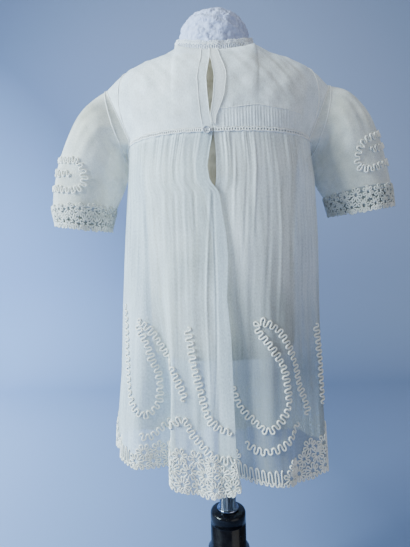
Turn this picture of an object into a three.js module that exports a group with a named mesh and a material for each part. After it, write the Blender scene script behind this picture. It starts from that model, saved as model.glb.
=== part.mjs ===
// A child's short sheer christening gown, closed at the back, on a limbless dress form with a stand.
// Millimetres, +Z up. The back of the gown faces -Y. The origin is the centre of the base's underside.
import * as THREE from "three";

// Cloth
const WALL = 1.2;            // thickness of the net's wall
const SEAM_GAP = 0.3;        // pieces stand this far apart along a seam
const LAY_GAP = 0.45;        // what lies on a panel stands this far off it
const CORD_LAY_GAP = 1.2;    // a couched cord crosses folds, so it stands a little further off
const BAND_WALL = 2.0;       // the corded borders are thicker than the net
const BAND_RELIEF = 0.9;     // and their cordwork stands this proud

// Levels
const SEAM_Z = 553;          // the seam between yoke and skirt
const BEADING_HEIGHT = 5;    // the openwork strip let into that seam
const ARMPIT_Z = 541.5;
const NECK_BACK_Z = 649;
const NECK_FRONT_Z = 645;
const NECK_SIDE_Z = 671;

// Neck
const NECK_SHIFT_X = -2;       // the wrapped neck leans a little to the left, and the neckline with it
const NECK_HALF_WIDTH = 45;
const NECK_HALF_DEPTH = 43.5;
const NECK_CURVE = 1.5;          // how sharply the neckline dips at its middle
const FRILL_HEIGHT = 11;
const FRILL_WAVES = 16;
const FRILL_FLARE = 1.5;
const FRILL_RUFFLE = 1.3;
const FRILL_WALL = 0.96;

// Armhole and shoulder. Round the armhole, turn 0 is the shoulder, 90 the back, 180 the armpit.
const SHOULDER_END_X = 128;
const SEAM_END_AZIMUTH = 68.7;   // degrees round from centre back, where the yoke seam meets the armhole
const ARMHOLE_YOKE_TURN = 120;   // the yoke takes up this much of the turn, the skirt the rest
const ARMPIT_EASE = 2;           // the sleeve stands this far off the skirt at the armpit
const SHOULDER_LINE = [
  { x: 44, z: 671 }, { x: 60, z: 662 }, { x: 80, z: 656.5 },
  { x: 100, z: 648.5 }, { x: 115, z: 638 }, { x: 128, z: 626.5 },
];

// Outline of the gown from the yoke seam down. swing moves the section sideways, as the gown hangs.
const BODY = [
  { z: 190, halfWidth: 122, halfDepth: 87, swing: -7, square: 2.2 },
  { z: 250, halfWidth: 119, halfDepth: 85, swing: -6, square: 2.2 },
  { z: 300, halfWidth: 116, halfDepth: 84, swing: -4, square: 2.2 },
  { z: 380, halfWidth: 112.5, halfDepth: 83, swing: -2.5, square: 2.3 },
  { z: 451, halfWidth: 110, halfDepth: 82, swing: 0, square: 2.4 },
  { z: 513, halfWidth: 106, halfDepth: 81, swing: 1.2, square: 2.5 },
  { z: 541, halfWidth: 103, halfDepth: 79, swing: 0, square: 2.6 },
  { z: 560, halfWidth: 103, halfDepth: 78, swing: 0, square: 2.6 },
];

// Hem level round the gown, and the height of its corded border. Azimuth 0 is centre back, 90 is +X.
const HEM = [
  { azimuth: -180, z: 198, border: 26 }, { azimuth: -150, z: 202, border: 18 },
  { azimuth: -115, z: 214, border: 22 }, { azimuth: -90, z: 228, border: 24 },
  { azimuth: -62, z: 220, border: 17 }, { azimuth: -48, z: 216, border: 24 },
  { azimuth: -38, z: 212, border: 34 }, { azimuth: -30, z: 203, border: 42 },
  { azimuth: -12, z: 196, border: 38 }, { azimuth: 4, z: 198, border: 34 },
  { azimuth: 16, z: 207, border: 16 }, { azimuth: 36, z: 203, border: 16 },
  { azimuth: 52, z: 200, border: 38 }, { azimuth: 68, z: 205, border: 34 },
  { azimuth: 90, z: 212, border: 24 }, { azimuth: 120, z: 206, border: 18 },
  { azimuth: 150, z: 199, border: 30 }, { azimuth: 180, z: 198, border: 26 },
];

// Large folds. reach is how far the cloth stands out (+) or falls in (-) at the hem, from nothing at start.
const FOLD_FULL_Z = 200;
const FOLDS_BACK_LEFT = [
  { azimuth: -43, spread: 11, reach: -27, start: 450 },
  { azimuth: -60, spread: 9, reach: 4, start: 520 },
  { azimuth: -73, spread: 7, reach: -6, start: 500 },
  { azimuth: -15, spread: 10, reach: -4, start: 480 },
];
const FOLDS_BACK_RIGHT = [
  { azimuth: 6, spread: 27, reach: -25, start: 470 },
  { azimuth: 40, spread: 8, reach: 4, start: 500 },
  { azimuth: 51, spread: 7, reach: -7, start: 470 },
  { azimuth: 63, spread: 8, reach: 5, start: 520 },
  { azimuth: 75, spread: 7, reach: -5, start: 480 },
];
const FOLDS_FRONT = [
  { azimuth: 104, spread: 8, reach: -6, start: 500 },
  { azimuth: 118, spread: 9, reach: 5, start: 520 },
  { azimuth: 134, spread: 11, reach: -10, start: 460 },
  { azimuth: 151, spread: 8, reach: 5, start: 500 },
  { azimuth: 167, spread: 10, reach: -6, start: 440 },
  { azimuth: 184, spread: 9, reach: 5, start: 510 },
  { azimuth: 201, spread: 12, reach: -9, start: 470 },
  { azimuth: 219, spread: 9, reach: 4, start: 520 },
  { azimuth: 235, spread: 8, reach: -9, start: 450 },
  { azimuth: 251, spread: 8, reach: 4, start: 500 },
  { azimuth: 262, spread: 6, reach: -4, start: 480 },
];

// Gathers under the yoke seam, and the softer ripples they open into below
const SIDE_GAP_AZIMUTH = 0.1;    // half the gap along a side seam, in degrees
const SIDE_SEAM_REACH = 0.6;     // an edge point this near the plane y = 0 lies on a side or shoulder seam
const GATHERS_BACK_HALF = 10;
const GATHERS_FRONT = 20;
const COLUMNS_PER_GATHER = 4;
const GATHER_DEPTH = 1.5;
const GATHERS_END_Z = 430;
const GATHER_UNEVENNESS = 0.35;
const GATHER_BEATS = 7;          // how often the gathers grow deeper and shallower round the gown
const RIPPLE_DEPTH = 2.4;
const RIPPLE_START_Z = 523;
const RIPPLE_FULL_Z = 243;
const RIPPLE_EDGE_SHARE = 0.3;   // share of a ripple's depth that is left at a panel's edge
const RIPPLE_EDGE_RISE = 10;
const SKIRT_ROWS = [1, 0.965, 0.9, 0.81, 0.69, 0.5, 0.3, 0.14, 0];   // shares of the height, top first

// Back closing: where the left panel's edge and the right panel's edge run. The left laps over the right.
const LAP = [
  { z: 195, left: 12, right: -2 }, { z: 231, left: 6, right: -5 },
  { z: 347, left: 4, right: -6 }, { z: 387, left: 1, right: -8 },
  { z: 427, left: 3, right: -6 }, { z: 448, left: 2, right: -7 },
  { z: 471, left: -1.5, right: -9 }, { z: 491, left: -4, right: -9.5 },
  { z: 503, left: -13, right: -6.5 }, { z: 517, left: -15, right: -6 },
  { z: 532, left: -12.5, right: -6 }, { z: 553, left: -8.4, right: -7.6 },
];
const TUCK_DEPTH = 4.5;      // how far the right panel's edge lies behind the left one, below the placket
const TUCK_START_Z = 508;
const TUCK_FULL_Z = 489;
const TUCK_SPREAD = 24;      // degrees over which the tucked edge comes forward again

// Neck slit between the two halves of the back yoke
const SLIT = [
  { z: 556, left: -8.8, right: -8 }, { z: 567, left: -11.2, right: -10.4 },
  { z: 585, left: -12.8, right: -7.2 }, { z: 607, left: -13.8, right: -5.4 },
  { z: 622, left: -11.5, right: -7 }, { z: 632, left: -9.6, right: -8.8 },
  { z: 649, left: -9.2, right: -8.4 },
];
const YOKE_COLUMNS = [0, 0.1, 0.2, 0.31, 0.42, 0.56, 0.7, 0.85, 1];
const YOKE_ROWS = [1, 0.8, 0.6, 0.43, 0.28, 0.16, 0.07, 0];   // shares of the way down, seam first
const PLACKET_WALL = 0.7;
const PLACKET_TOP_SHARE = 0.4;   // the bands end this share of a yoke row below the neck edge
const NECK_SHARE = 0.42;     // share of a half yoke's top edge that runs round the neck

// Sleeves. outer and inner are the ends of each section as seen from the back, depth its half width in Y.
const SLEEVE_LEFT = [
  { outerX: 146, outerZ: 612, innerX: 105.8, innerZ: 536, depth: 43 },
  { outerX: 161, outerZ: 594, innerX: 107.2, innerZ: 527, depth: 46 },
  { outerX: 174, outerZ: 568, innerX: 110, innerZ: 517, depth: 46 },
  { outerX: 186, outerZ: 537, innerX: 114, innerZ: 507, depth: 43 },
  { outerX: 192, outerZ: 508, innerX: 119, innerZ: 496, depth: 40 },
  { outerX: 193.5, outerZ: 489, innerX: 123, innerZ: 487, depth: 37.5 },
];
const SLEEVE_RIGHT = [
  { outerX: 145, outerZ: 619, innerX: 106.8, innerZ: 536, depth: 43 },
  { outerX: 160, outerZ: 606, innerX: 108.8, innerZ: 528, depth: 46 },
  { outerX: 175, outerZ: 586, innerX: 111.5, innerZ: 519, depth: 46 },
  { outerX: 185.5, outerZ: 560, innerX: 114.5, innerZ: 511, depth: 43 },
  { outerX: 193, outerZ: 529, innerX: 119, innerZ: 503, depth: 40 },
  { outerX: 197.5, outerZ: 508, innerX: 123, innerZ: 497, depth: 37.5 },
];
const CUFF_LEFT = { outerX: 190, outerZ: 476, innerX: 128.5, innerZ: 467, depth: 36 };
const CUFF_RIGHT = { outerX: 199.5, outerZ: 489, innerX: 128, innerZ: 478, depth: 36 };
const SLEEVE_COLUMNS = 32;
const SLEEVE_CREASES = 8;
const SLEEVE_CREASE_DEPTH = 1.1;
const SLEEVE_CREASE_ROWS = 3;
const CUFF_SCALLOP = 3;      // depth of the scallops along the cuff's edge
const HEM_SCALLOP = 3;

// Button
const BUTTON = { x: -14.6, z: 552.3, radius: 3.8, backRadius: 3.2, thickness: 2, stand: 0.8, sides: 16 };

// Couched cord motifs: leaves and vines on the back, and one that runs through two leaves in front
const CORD_WIDTH = 2.4;
const CORD_HEIGHT = 1.5;
const CORD_STEP = 5;
const LEAF_LEFT = [
  { x: -60, z: 327 }, { x: -68, z: 342 }, { x: -80, z: 358 }, { x: -92, z: 364 },
  { x: -88, z: 350 }, { x: -79, z: 334 }, { x: -72, z: 315 }, { x: -70, z: 295 }, { x: -74, z: 277 },
  { x: -86, z: 270 }, { x: -96, z: 278 }, { x: -100, z: 295 }, { x: -102, z: 320 }, { x: -103, z: 348 },
];
const VINE_CENTRE = [
  { x: -37, z: 358 }, { x: -34, z: 330 }, { x: -29, z: 304 }, { x: -23, z: 282 }, { x: -14, z: 265 },
  { x: -3, z: 258 },
];
const LEAF_RIGHT = [
  { x: 83, z: 264 }, { x: 76, z: 288 }, { x: 70, z: 312 }, { x: 62, z: 336 }, { x: 51, z: 354 },
  { x: 37, z: 363 }, { x: 29, z: 360 }, { x: 40, z: 343 }, { x: 52, z: 324 }, { x: 59, z: 300 },
  { x: 57, z: 276 }, { x: 46, z: 261 }, { x: 34, z: 258 },
];
const VINE_FRONT = [
  { x: -83, z: 266 }, { x: -78, z: 290 }, { x: -71, z: 313 }, { x: -62, z: 336 }, { x: -51, z: 354 },
  { x: -37, z: 363 }, { x: -30, z: 358 }, { x: -40, z: 340 }, { x: -52, z: 322 }, { x: -58, z: 300 },
  { x: -56, z: 278 }, { x: -44, z: 260 }, { x: -24, z: 247 }, { x: 0, z: 242 }, { x: 24, z: 247 },
  { x: 44, z: 260 }, { x: 56, z: 278 }, { x: 58, z: 300 }, { x: 52, z: 322 }, { x: 40, z: 340 },
  { x: 30, z: 358 }, { x: 37, z: 363 }, { x: 51, z: 354 }, { x: 62, z: 336 }, { x: 71, z: 313 },
  { x: 78, z: 290 }, { x: 83, z: 266 },
];
const SLEEVE_LOOP = [
  { share: 0.64, turn: 72 }, { share: 0.6, turn: 92 }, { share: 0.66, turn: 104 }, { share: 0.76, turn: 100 },
  { share: 0.83, turn: 78 }, { share: 0.84, turn: 52 }, { share: 0.8, turn: 26 },
];
const SLEEVE_LOOP_SCALE = { share: 120, turn: 0.75 };   // millimetres for a whole share and for a degree

// Dress form
const FORM_COLUMNS = 24;
const FORM = [
  { z: 320, halfWidth: 72, halfDepth: 52, square: 2.2 },
  { z: 324, halfWidth: 79, halfDepth: 58, square: 2.2 },
  { z: 336, halfWidth: 82, halfDepth: 61, square: 2.2 },
  { z: 390, halfWidth: 83, halfDepth: 64, square: 2.2 },
  { z: 455, halfWidth: 84, halfDepth: 68, square: 2.2 },
  { z: 520, halfWidth: 88, halfDepth: 70, square: 2.2 },
  { z: 570, halfWidth: 94, halfDepth: 70, square: 2.2 },
  { z: 600, halfWidth: 100, halfDepth: 66, square: 2.2 },
  { z: 622, halfWidth: 104, halfDepth: 57, square: 2.1 },
  { z: 636, halfWidth: 103, halfDepth: 46, square: 2 },
];
// The shoulder's crest carries the yoke. gap is how far below the cloth it lies there.
const FORM_SHOULDER = [
  { halfWidth: 97, halfDepth: 34, square: 1.8, gap: 1.8 },
  { halfWidth: 84, halfDepth: 29, square: 1.8, gap: 0.7 },
  { halfWidth: 64, halfDepth: 26, square: 1.8, gap: 0.7 },
];
const FORM_NECK = { z: 664.5, halfWidth: 39.5, halfDepth: 38, square: 2 };

// Wrapped neck cap, stand and base, as radius and height profiles
const CAP = [
  { radius: 40, z: 664.8 }, { radius: 41, z: 671 }, { radius: 41.4, z: 681 }, { radius: 40, z: 689.5 },
  { radius: 36, z: 698 }, { radius: 28, z: 705 }, { radius: 15, z: 709.7 },
];
const CAP_TOP_Z = 711;
const POLE_RADIUS = 9.4;
const HUB_RADIUS = 20.5;
const HUB_TOP_Z = 136;
const HUB_STEP_Z = 95;
const HUB_FOOT_RADIUS = 24;
const HUB_BEVEL = 3;
const COLLAR_RADIUS = 12.5;
const COLLAR_HEIGHT = 3;
const BASE = [
  { radius: 112, z: 0 }, { radius: 112, z: 6 }, { radius: 104, z: 9.5 }, { radius: 82, z: 12 },
];
const BASE_TOP_Z = 12;
const ROUND_COLUMNS = 28;

// Colours
const NET = { color: 0xece6d4, roughness: 0.75, metalness: 0 };
const CORD = { color: 0xf3ead3, roughness: 0.7, metalness: 0 };
const FORM_CLOTH = { color: 0xd9cdb2, roughness: 0.9, metalness: 0 };
const TAPE = { color: 0xe9e9ea, roughness: 0.8, metalness: 0 };
const CHROME = { color: 0xc9ccd0, roughness: 0.2, metalness: 1 };
const BLACK = { color: 0x101013, roughness: 0.25, metalness: 0 };
const PEARL = { color: 0x9b9da3, roughness: 0.3, metalness: 0 };

const group = new THREE.Group();

function radians(degrees) {
  return THREE.MathUtils.degToRad(degrees);
}

function mix(a, b, share) {
  return a + (b - a) * share;
}

function ease(share) {
  const t = THREE.MathUtils.clamp(share, 0, 1);
  return t * t * (3 - 2 * t);
}

// The value of one column of a table whose rows are in rising order of key
function lookUp(rows, key, at, column) {
  if (at <= rows[0][key]) return rows[0][column];
  for (let i = 1; i < rows.length; i += 1) {
    if (at <= rows[i][key]) {
      const share = (at - rows[i - 1][key]) / (rows[i][key] - rows[i - 1][key]);
      return mix(rows[i - 1][column], rows[i][column], share);
    }
  }
  return rows[rows.length - 1][column];
}

function addMesh(name, geometry, look) {
  const mesh = new THREE.Mesh(geometry, new THREE.MeshStandardMaterial(look));
  mesh.name = name;
  group.add(mesh);
}

// Outward normals of a grid of points. Columns run anticlockwise seen from above, rows run upwards.
// Along the side and shoulder seams, which lie in the plane y = 0, they stay in that plane.
function gridNormals(grid, closed) {
  const rows = grid.length;
  const columns = grid[0].length;
  return grid.map((line, r) => line.map((point, c) => {
    const atEdge = !closed && (r === rows - 1 || c === 0 || c === columns - 1);
    const above = grid[Math.min(r + 1, rows - 1)][c];
    const below = grid[Math.max(r - 1, 0)][c];
    const next = closed ? line[(c + 1) % columns] : line[Math.min(c + 1, columns - 1)];
    const before = closed ? line[(c + columns - 1) % columns] : line[Math.max(c - 1, 0)];
    const normal = next.clone().sub(before).cross(above.clone().sub(below)).normalize();
    if (atEdge && Math.abs(point.y) < SIDE_SEAM_REACH) normal.setY(0).normalize();
    return normal;
  }));
}

// A wall of cloth: the grid is its outer face, lifted by relief, and the inner face lies behind the grid
function wallGeometry(grid, thickness, closed, relief = () => 0) {
  const rows = grid.length;
  const columns = grid[0].length;
  const normals = gridNormals(grid, closed);
  const positions = [];
  const push = (r, c, offset) => {
    const point = grid[r][c].clone().addScaledVector(normals[r][c], offset);
    positions.push(point.x, point.y, point.z);
  };
  for (let r = 0; r < rows; r += 1) for (let c = 0; c < columns; c += 1) push(r, c, relief(r, c));
  for (let r = 0; r < rows; r += 1) for (let c = 0; c < columns; c += 1) push(r, c, -thickness);
  const outer = (r, c) => r * columns + (c % columns);
  const inner = (r, c) => rows * columns + r * columns + (c % columns);
  const index = [];
  const quad = (a, b, c, d) => index.push(a, b, c, a, c, d);
  const spans = closed ? columns : columns - 1;
  for (let c = 0; c < spans; c += 1) {
    for (let r = 0; r < rows - 1; r += 1) {
      quad(outer(r, c), outer(r, c + 1), outer(r + 1, c + 1), outer(r + 1, c));
      quad(inner(r, c), inner(r + 1, c), inner(r + 1, c + 1), inner(r, c + 1));
    }
    quad(inner(0, c), inner(0, c + 1), outer(0, c + 1), outer(0, c));
    const top = rows - 1;
    quad(outer(top, c), outer(top, c + 1), inner(top, c + 1), inner(top, c));
  }
  if (!closed) {
    const last = columns - 1;
    for (let r = 0; r < rows - 1; r += 1) {
      quad(outer(r, 0), outer(r + 1, 0), inner(r + 1, 0), inner(r, 0));
      quad(inner(r, last), inner(r + 1, last), outer(r + 1, last), outer(r, last));
    }
  }
  const geometry = new THREE.BufferGeometry();
  geometry.setAttribute("position", new THREE.Float32BufferAttribute(positions, 3));
  geometry.setIndex(index);
  return geometry;
}

// A solid through closed rings, bottom first, closed by a flat fan at each end
function loftGeometry(rings) {
  const columns = rings[0].length;
  const positions = [];
  for (const ring of rings) for (const point of ring) positions.push(point.x, point.y, point.z);
  const index = [];
  for (let r = 0; r < rings.length - 1; r += 1) {
    for (let c = 0; c < columns; c += 1) {
      const next = (c + 1) % columns;
      const a = r * columns + c;
      const b = r * columns + next;
      index.push(a, b, b + columns, a, b + columns, a + columns);
    }
  }
  const centreOf = (ring) => ring.reduce((sum, p) => sum.add(p), new THREE.Vector3()).divideScalar(columns);
  const bottom = centreOf(rings[0]);
  const top = centreOf(rings[rings.length - 1]);
  const bottomIndex = positions.length / 3;
  positions.push(bottom.x, bottom.y, bottom.z, top.x, top.y, top.z);
  const start = (rings.length - 1) * columns;
  for (let c = 0; c < columns; c += 1) {
    const next = (c + 1) % columns;
    index.push(bottomIndex, next, c, bottomIndex + 1, start + c, start + next);
  }
  const geometry = new THREE.BufferGeometry();
  geometry.setAttribute("position", new THREE.Float32BufferAttribute(positions, 3));
  geometry.setIndex(index);
  return geometry;
}

// The unpleated outline at a level: a rounded section, by azimuth round from centre back
function sectionPoint(section, azimuth, z, shiftX = 0) {
  const s = Math.sin(radians(azimuth));
  const c = Math.cos(radians(azimuth));
  const n = section.square;
  const sum = Math.abs(s / section.halfWidth) ** n + Math.abs(c / section.halfDepth) ** n;
  const radius = sum ** (-1 / n);
  return new THREE.Vector3(shiftX + radius * s, -radius * c, z);
}

function bodySection(z) {
  const value = (column) => lookUp(BODY, "z", z, column);
  return {
    halfWidth: value("halfWidth"), halfDepth: value("halfDepth"),
    swing: value("swing"), square: value("square"),
  };
}

function bodyPoint(azimuth, z) {
  const section = bodySection(z);
  return sectionPoint(section, azimuth, z, section.swing);
}

function azimuthAtX(x, z) {
  const section = bodySection(z);
  return THREE.MathUtils.radToDeg(Math.atan2(x - section.swing, section.halfDepth));
}

function hemZ(azimuth) {
  const turned = azimuth > 180 ? azimuth - 360 : azimuth;
  return lookUp(HEM, "azimuth", turned, "z");
}

function borderTopZ(azimuth) {
  const turned = azimuth > 180 ? azimuth - 360 : azimuth;
  return hemZ(azimuth) + lookUp(HEM, "azimuth", turned, "border");
}

function skirtTopZ(azimuth) {
  const fromBack = azimuth > 90 ? Math.abs(180 - azimuth) : Math.abs(azimuth);
  const seam = SEAM_Z - BEADING_HEIGHT / 2 - SEAM_GAP;
  const share = Math.max(0, (fromBack - SEAM_END_AZIMUTH) / (90 - SEAM_END_AZIMUTH));
  return mix(seam, ARMPIT_Z, share);
}

function foldReach(folds, azimuth, z) {
  let reach = 0;
  for (const fold of folds) {
    const across = Math.abs(azimuth - fold.azimuth) / fold.spread;
    if (across < 1) {
      const down = ease((fold.start - z) / (fold.start - FOLD_FULL_Z));
      reach += fold.reach * down * Math.cos(across * Math.PI / 2) ** 2;
    }
  }
  return reach;
}

// Gathers fade out below the seam while every second one opens into a ripple
function gatherReach(panel, share, azimuth, z) {
  const turns = share * panel.gathers * 2 * Math.PI;
  const uneven = 1 + GATHER_UNEVENNESS * Math.sin(radians(azimuth * GATHER_BEATS) + panel.phase);
  const fade = 1 - ease((SEAM_Z - z) / (SEAM_Z - GATHERS_END_Z));
  const open = ease((RIPPLE_START_Z - z) / (RIPPLE_START_Z - RIPPLE_FULL_Z));
  const fromEdge = Math.min(share, 1 - share);
  const ends = Math.min(1, RIPPLE_EDGE_RISE * fromEdge + RIPPLE_EDGE_SHARE);
  const gather = GATHER_DEPTH * fade * Math.cos(turns);
  const ripple = RIPPLE_DEPTH * open * Math.cos(turns / 2 + panel.phase);
  return (gather + ripple * ends) * uneven;
}

function tuckReach(panel, azimuth, startAzimuth, z) {
  if (!panel.tucked) return 0;
  const depth = TUCK_DEPTH * ease((TUCK_START_Z - z) / (TUCK_START_Z - TUCK_FULL_Z));
  const across = Math.min(1, (azimuth - startAzimuth) / TUCK_SPREAD);
  return -depth * Math.cos(across * Math.PI / 2) ** 2;
}

// A panel's point by its share across, its share up and its lower and upper edge
function panelPoint(panel, share, up, bottomZ, topZ) {
  let azimuth = mix(panel.from(SEAM_Z), panel.to(SEAM_Z), share);
  let z = mix(bottomZ(azimuth), topZ(azimuth), up);
  azimuth = mix(panel.from(z), panel.to(z), share);
  z = mix(bottomZ(azimuth), topZ(azimuth), up);
  const startAzimuth = panel.from(z);
  azimuth = mix(startAzimuth, panel.to(z), share);
  const point = bodyPoint(azimuth, z);
  const reach = foldReach(panel.folds, azimuth, z) + gatherReach(panel, share, azimuth, z)
    + tuckReach(panel, azimuth, startAzimuth, z);
  point.x += reach * Math.sin(radians(azimuth));
  point.y -= reach * Math.cos(radians(azimuth));
  return point;
}

const PANELS = {
  back_left: {
    from: () => -90 + SIDE_GAP_AZIMUTH,
    to: (z) => azimuthAtX(lookUp(LAP, "z", z, "left"), z),
    gathers: GATHERS_BACK_HALF, folds: FOLDS_BACK_LEFT, phase: 0.4, tucked: false,
  },
  back_right: {
    from: (z) => azimuthAtX(lookUp(LAP, "z", z, "right"), z),
    to: () => 90 - SIDE_GAP_AZIMUTH,
    gathers: GATHERS_BACK_HALF, folds: FOLDS_BACK_RIGHT, phase: 1.3, tucked: true,
  },
  front: {
    from: () => 90 + SIDE_GAP_AZIMUTH,
    to: () => 270 - SIDE_GAP_AZIMUTH,
    gathers: GATHERS_FRONT, folds: FOLDS_FRONT, phase: 2.1, tucked: false,
  },
};

function panelGrid(panel, shares, bottomZ, topZ) {
  const columns = panel.gathers * COLUMNS_PER_GATHER;
  return shares.map((up) => {
    const line = [];
    for (let c = 0; c <= columns; c += 1) line.push(panelPoint(panel, c / columns, up, bottomZ, topZ));
    return line;
  });
}

function skirtGrid(panel) {
  const bottomZ = (azimuth) => borderTopZ(azimuth) + SEAM_GAP;
  return panelGrid(panel, [...SKIRT_ROWS].reverse(), bottomZ, skirtTopZ);
}

function borderGrid(panel) {
  const grid = panelGrid(panel, [0, 0.5, 1], hemZ, borderTopZ);
  grid[0].forEach((point, c) => {
    if (c % COLUMNS_PER_GATHER === 0) point.z += HEM_SCALLOP;
  });
  return grid;
}

// Cordwork in relief on a border. The top row, at the seam, stays flat.
function cordRelief(r, c) {
  return r < 2 && (r + c) % 2 === 0 ? BAND_RELIEF : 0;
}

function addSkirt() {
  for (const [name, panel] of Object.entries(PANELS)) {
    addMesh(`skirt_${name}`, wallGeometry(skirtGrid(panel), WALL, false), NET);
    addMesh(`hem_border_${name}`, wallGeometry(borderGrid(panel), WALL, false, cordRelief), CORD);
  }
}

function shoulderZ(x) {
  return lookUp(SHOULDER_LINE, "x", Math.abs(x), "z");
}

// The yoke's upper edge: round the neck, then along the shoulder seam. side is 1 at the back, -1 in front.
// A half yoke starts at start.x, beside the slit at the back or at the middle in front.
function yokeTopPoint(along, direction, side, startX) {
  const startSine = direction * (startX - NECK_SHIFT_X) / NECK_HALF_WIDTH;
  const startTurn = THREE.MathUtils.radToDeg(Math.asin(startSine));
  if (along <= NECK_SHARE) {
    const turn = mix(startTurn, 90, along / NECK_SHARE);
    const s = Math.sin(radians(turn));
    const c = Math.cos(radians(turn));
    const lowZ = side > 0 ? NECK_BACK_Z : NECK_FRONT_Z;
    const z = mix(NECK_SIDE_Z, lowZ, Math.abs(c) ** NECK_CURVE);
    const x = NECK_SHIFT_X + direction * NECK_HALF_WIDTH * s;
    return new THREE.Vector3(x, -side * (NECK_HALF_DEPTH * c + SEAM_GAP / 2), z);
  }
  const neckX = NECK_HALF_WIDTH + direction * NECK_SHIFT_X;
  const x = mix(neckX, SHOULDER_END_X, (along - NECK_SHARE) / (1 - NECK_SHARE));
  return new THREE.Vector3(direction * x, -side * SEAM_GAP / 2, shoulderZ(x));
}

// From the upper edge the yoke curves over the shoulder and down to the seam, as a quarter of an ellipse
function yokePoint(along, down, direction, side, start) {
  const top = yokeTopPoint(along, direction, side, start.topX);
  const seamZ = SEAM_Z + BEADING_HEIGHT / 2 + SEAM_GAP;
  const azimuth = mix(direction * azimuthAtX(start.seamX, seamZ), SEAM_END_AZIMUTH, along);
  const seam = bodyPoint(side > 0 ? direction * azimuth : 180 - direction * azimuth, seamZ);
  const bend = radians(90 * down);
  return new THREE.Vector3(
    mix(seam.x, top.x, Math.cos(bend)),
    mix(top.y, seam.y, Math.sin(bend)),
    mix(seam.z, top.z, Math.cos(bend)),
  );
}

function backYokeStart(direction) {
  const edge = direction < 0 ? "left" : "right";
  return { topX: SLIT[SLIT.length - 1][edge], seamX: SLIT[0][edge] };
}

const FRONT_YOKE_START = { topX: NECK_SHIFT_X, seamX: 0 };

function backYokeGrid(direction) {
  const start = backYokeStart(direction);
  return YOKE_ROWS.map((down) => {
    const edge = yokePoint(0, down, direction, 1, start);
    const opening = lookUp(SLIT, "z", edge.z, direction < 0 ? "left" : "right") - edge.x;
    const line = YOKE_COLUMNS.map((along) => {
      const point = yokePoint(along, down, direction, 1, start);
      point.x += opening * (1 - along) ** 2;
      return point;
    });
    return direction < 0 ? line.reverse() : line;
  });
}

function frontYokeGrid() {
  return YOKE_ROWS.map((down) => {
    const half = (direction) => (
      YOKE_COLUMNS.map((along) => yokePoint(along, down, direction, -1, FRONT_YOKE_START))
    );
    const right = half(1).reverse();
    const left = half(-1);
    return [...right, ...left.slice(1)];
  });
}

// The band along the slit's right edge, made from that yoke's own first column and moved out. It narrows
// towards the button.
function placketGrid(yokeGrid) {
  const normals = gridNormals(yokeGrid, false);
  const lift = LAY_GAP + PLACKET_WALL;
  const lines = yokeGrid.map((line, r) => {
    const edge = line[0].clone().addScaledVector(normals[r][0], lift);
    const far = line[1].clone().addScaledVector(normals[r][1], lift);
    return [edge, edge.clone().lerp(far, mix(0.35, 0.95, r / (yokeGrid.length - 1)))];
  });
  const top = lines.length - 1;
  lines[top] = lines[top].map((point, c) => point.lerp(lines[top - 1][c], PLACKET_TOP_SHARE));
  return lines;
}

function addYoke() {
  const left = backYokeGrid(-1);
  const right = backYokeGrid(1);
  const doubled = (r, c) => (c >= YOKE_COLUMNS.length - 2 && r > 0 && r < left.length - 1 ? PLACKET_WALL : 0);
  addMesh("yoke_back_left", wallGeometry(left, WALL, false, doubled), NET);
  addMesh("yoke_back_right", wallGeometry(right, WALL, false), NET);
  addMesh("yoke_front", wallGeometry(frontYokeGrid(), WALL, false), NET);
  addMesh("placket_band", wallGeometry(placketGrid(right), PLACKET_WALL, false), NET);
}

// The openwork strip between yoke and skirt, from one azimuth to another
function addBeading(name, from, to, columns) {
  const grid = [-0.5, 0.5].map((share) => {
    const z = SEAM_Z + share * BEADING_HEIGHT;
    const line = [];
    for (let c = 0; c <= columns; c += 1) line.push(bodyPoint(mix(from, to, c / columns), z));
    return line;
  });
  addMesh(name, wallGeometry(grid, WALL, false), CORD);
}

function addBeadings() {
  const backColumns = 9;
  const leftEnd = azimuthAtX(lookUp(LAP, "z", SEAM_Z, "left"), SEAM_Z);
  const rightEnd = azimuthAtX(lookUp(LAP, "z", SEAM_Z, "right"), SEAM_Z);
  addBeading("beading_back_left", -SEAM_END_AZIMUTH, leftEnd, backColumns);
  addBeading("beading_back_right", rightEnd, SEAM_END_AZIMUTH, backColumns);
  addBeading("beading_front", 180 - SEAM_END_AZIMUTH, 180 + SEAM_END_AZIMUTH, 2 * backColumns);
}

// The neck edge of the yokes, straight between the yoke's own columns, by the turn from centre back
function neckEdgePoint(turn) {
  const turned = turn > 180 ? turn - 360 : turn;
  const side = Math.abs(turned) <= 90 ? 1 : -1;
  const slitX = backYokeStart(1).topX;
  const slitTurn = THREE.MathUtils.radToDeg(Math.asin((slitX - NECK_SHIFT_X) / NECK_HALF_WIDTH));
  const middle = side > 0 ? slitTurn : 0;
  const direction = turned >= middle ? 1 : -1;
  const fromMiddle = side > 0 ? direction * turned : 180 - Math.abs(turned);
  const along = NECK_SHARE * (fromMiddle - direction * middle) / (90 - direction * middle);
  const startX = side > 0 ? backYokeStart(direction).topX : FRONT_YOKE_START.topX;
  const column = Math.max(1, YOKE_COLUMNS.findIndex((share) => share >= along - 1e-9));
  const before = YOKE_COLUMNS[column - 1];
  const start = yokeTopPoint(before, direction, side, startX);
  const end = yokeTopPoint(YOKE_COLUMNS[column], direction, side, startX);
  return start.lerp(end, (along - before) / (YOKE_COLUMNS[column] - before));
}

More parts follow.
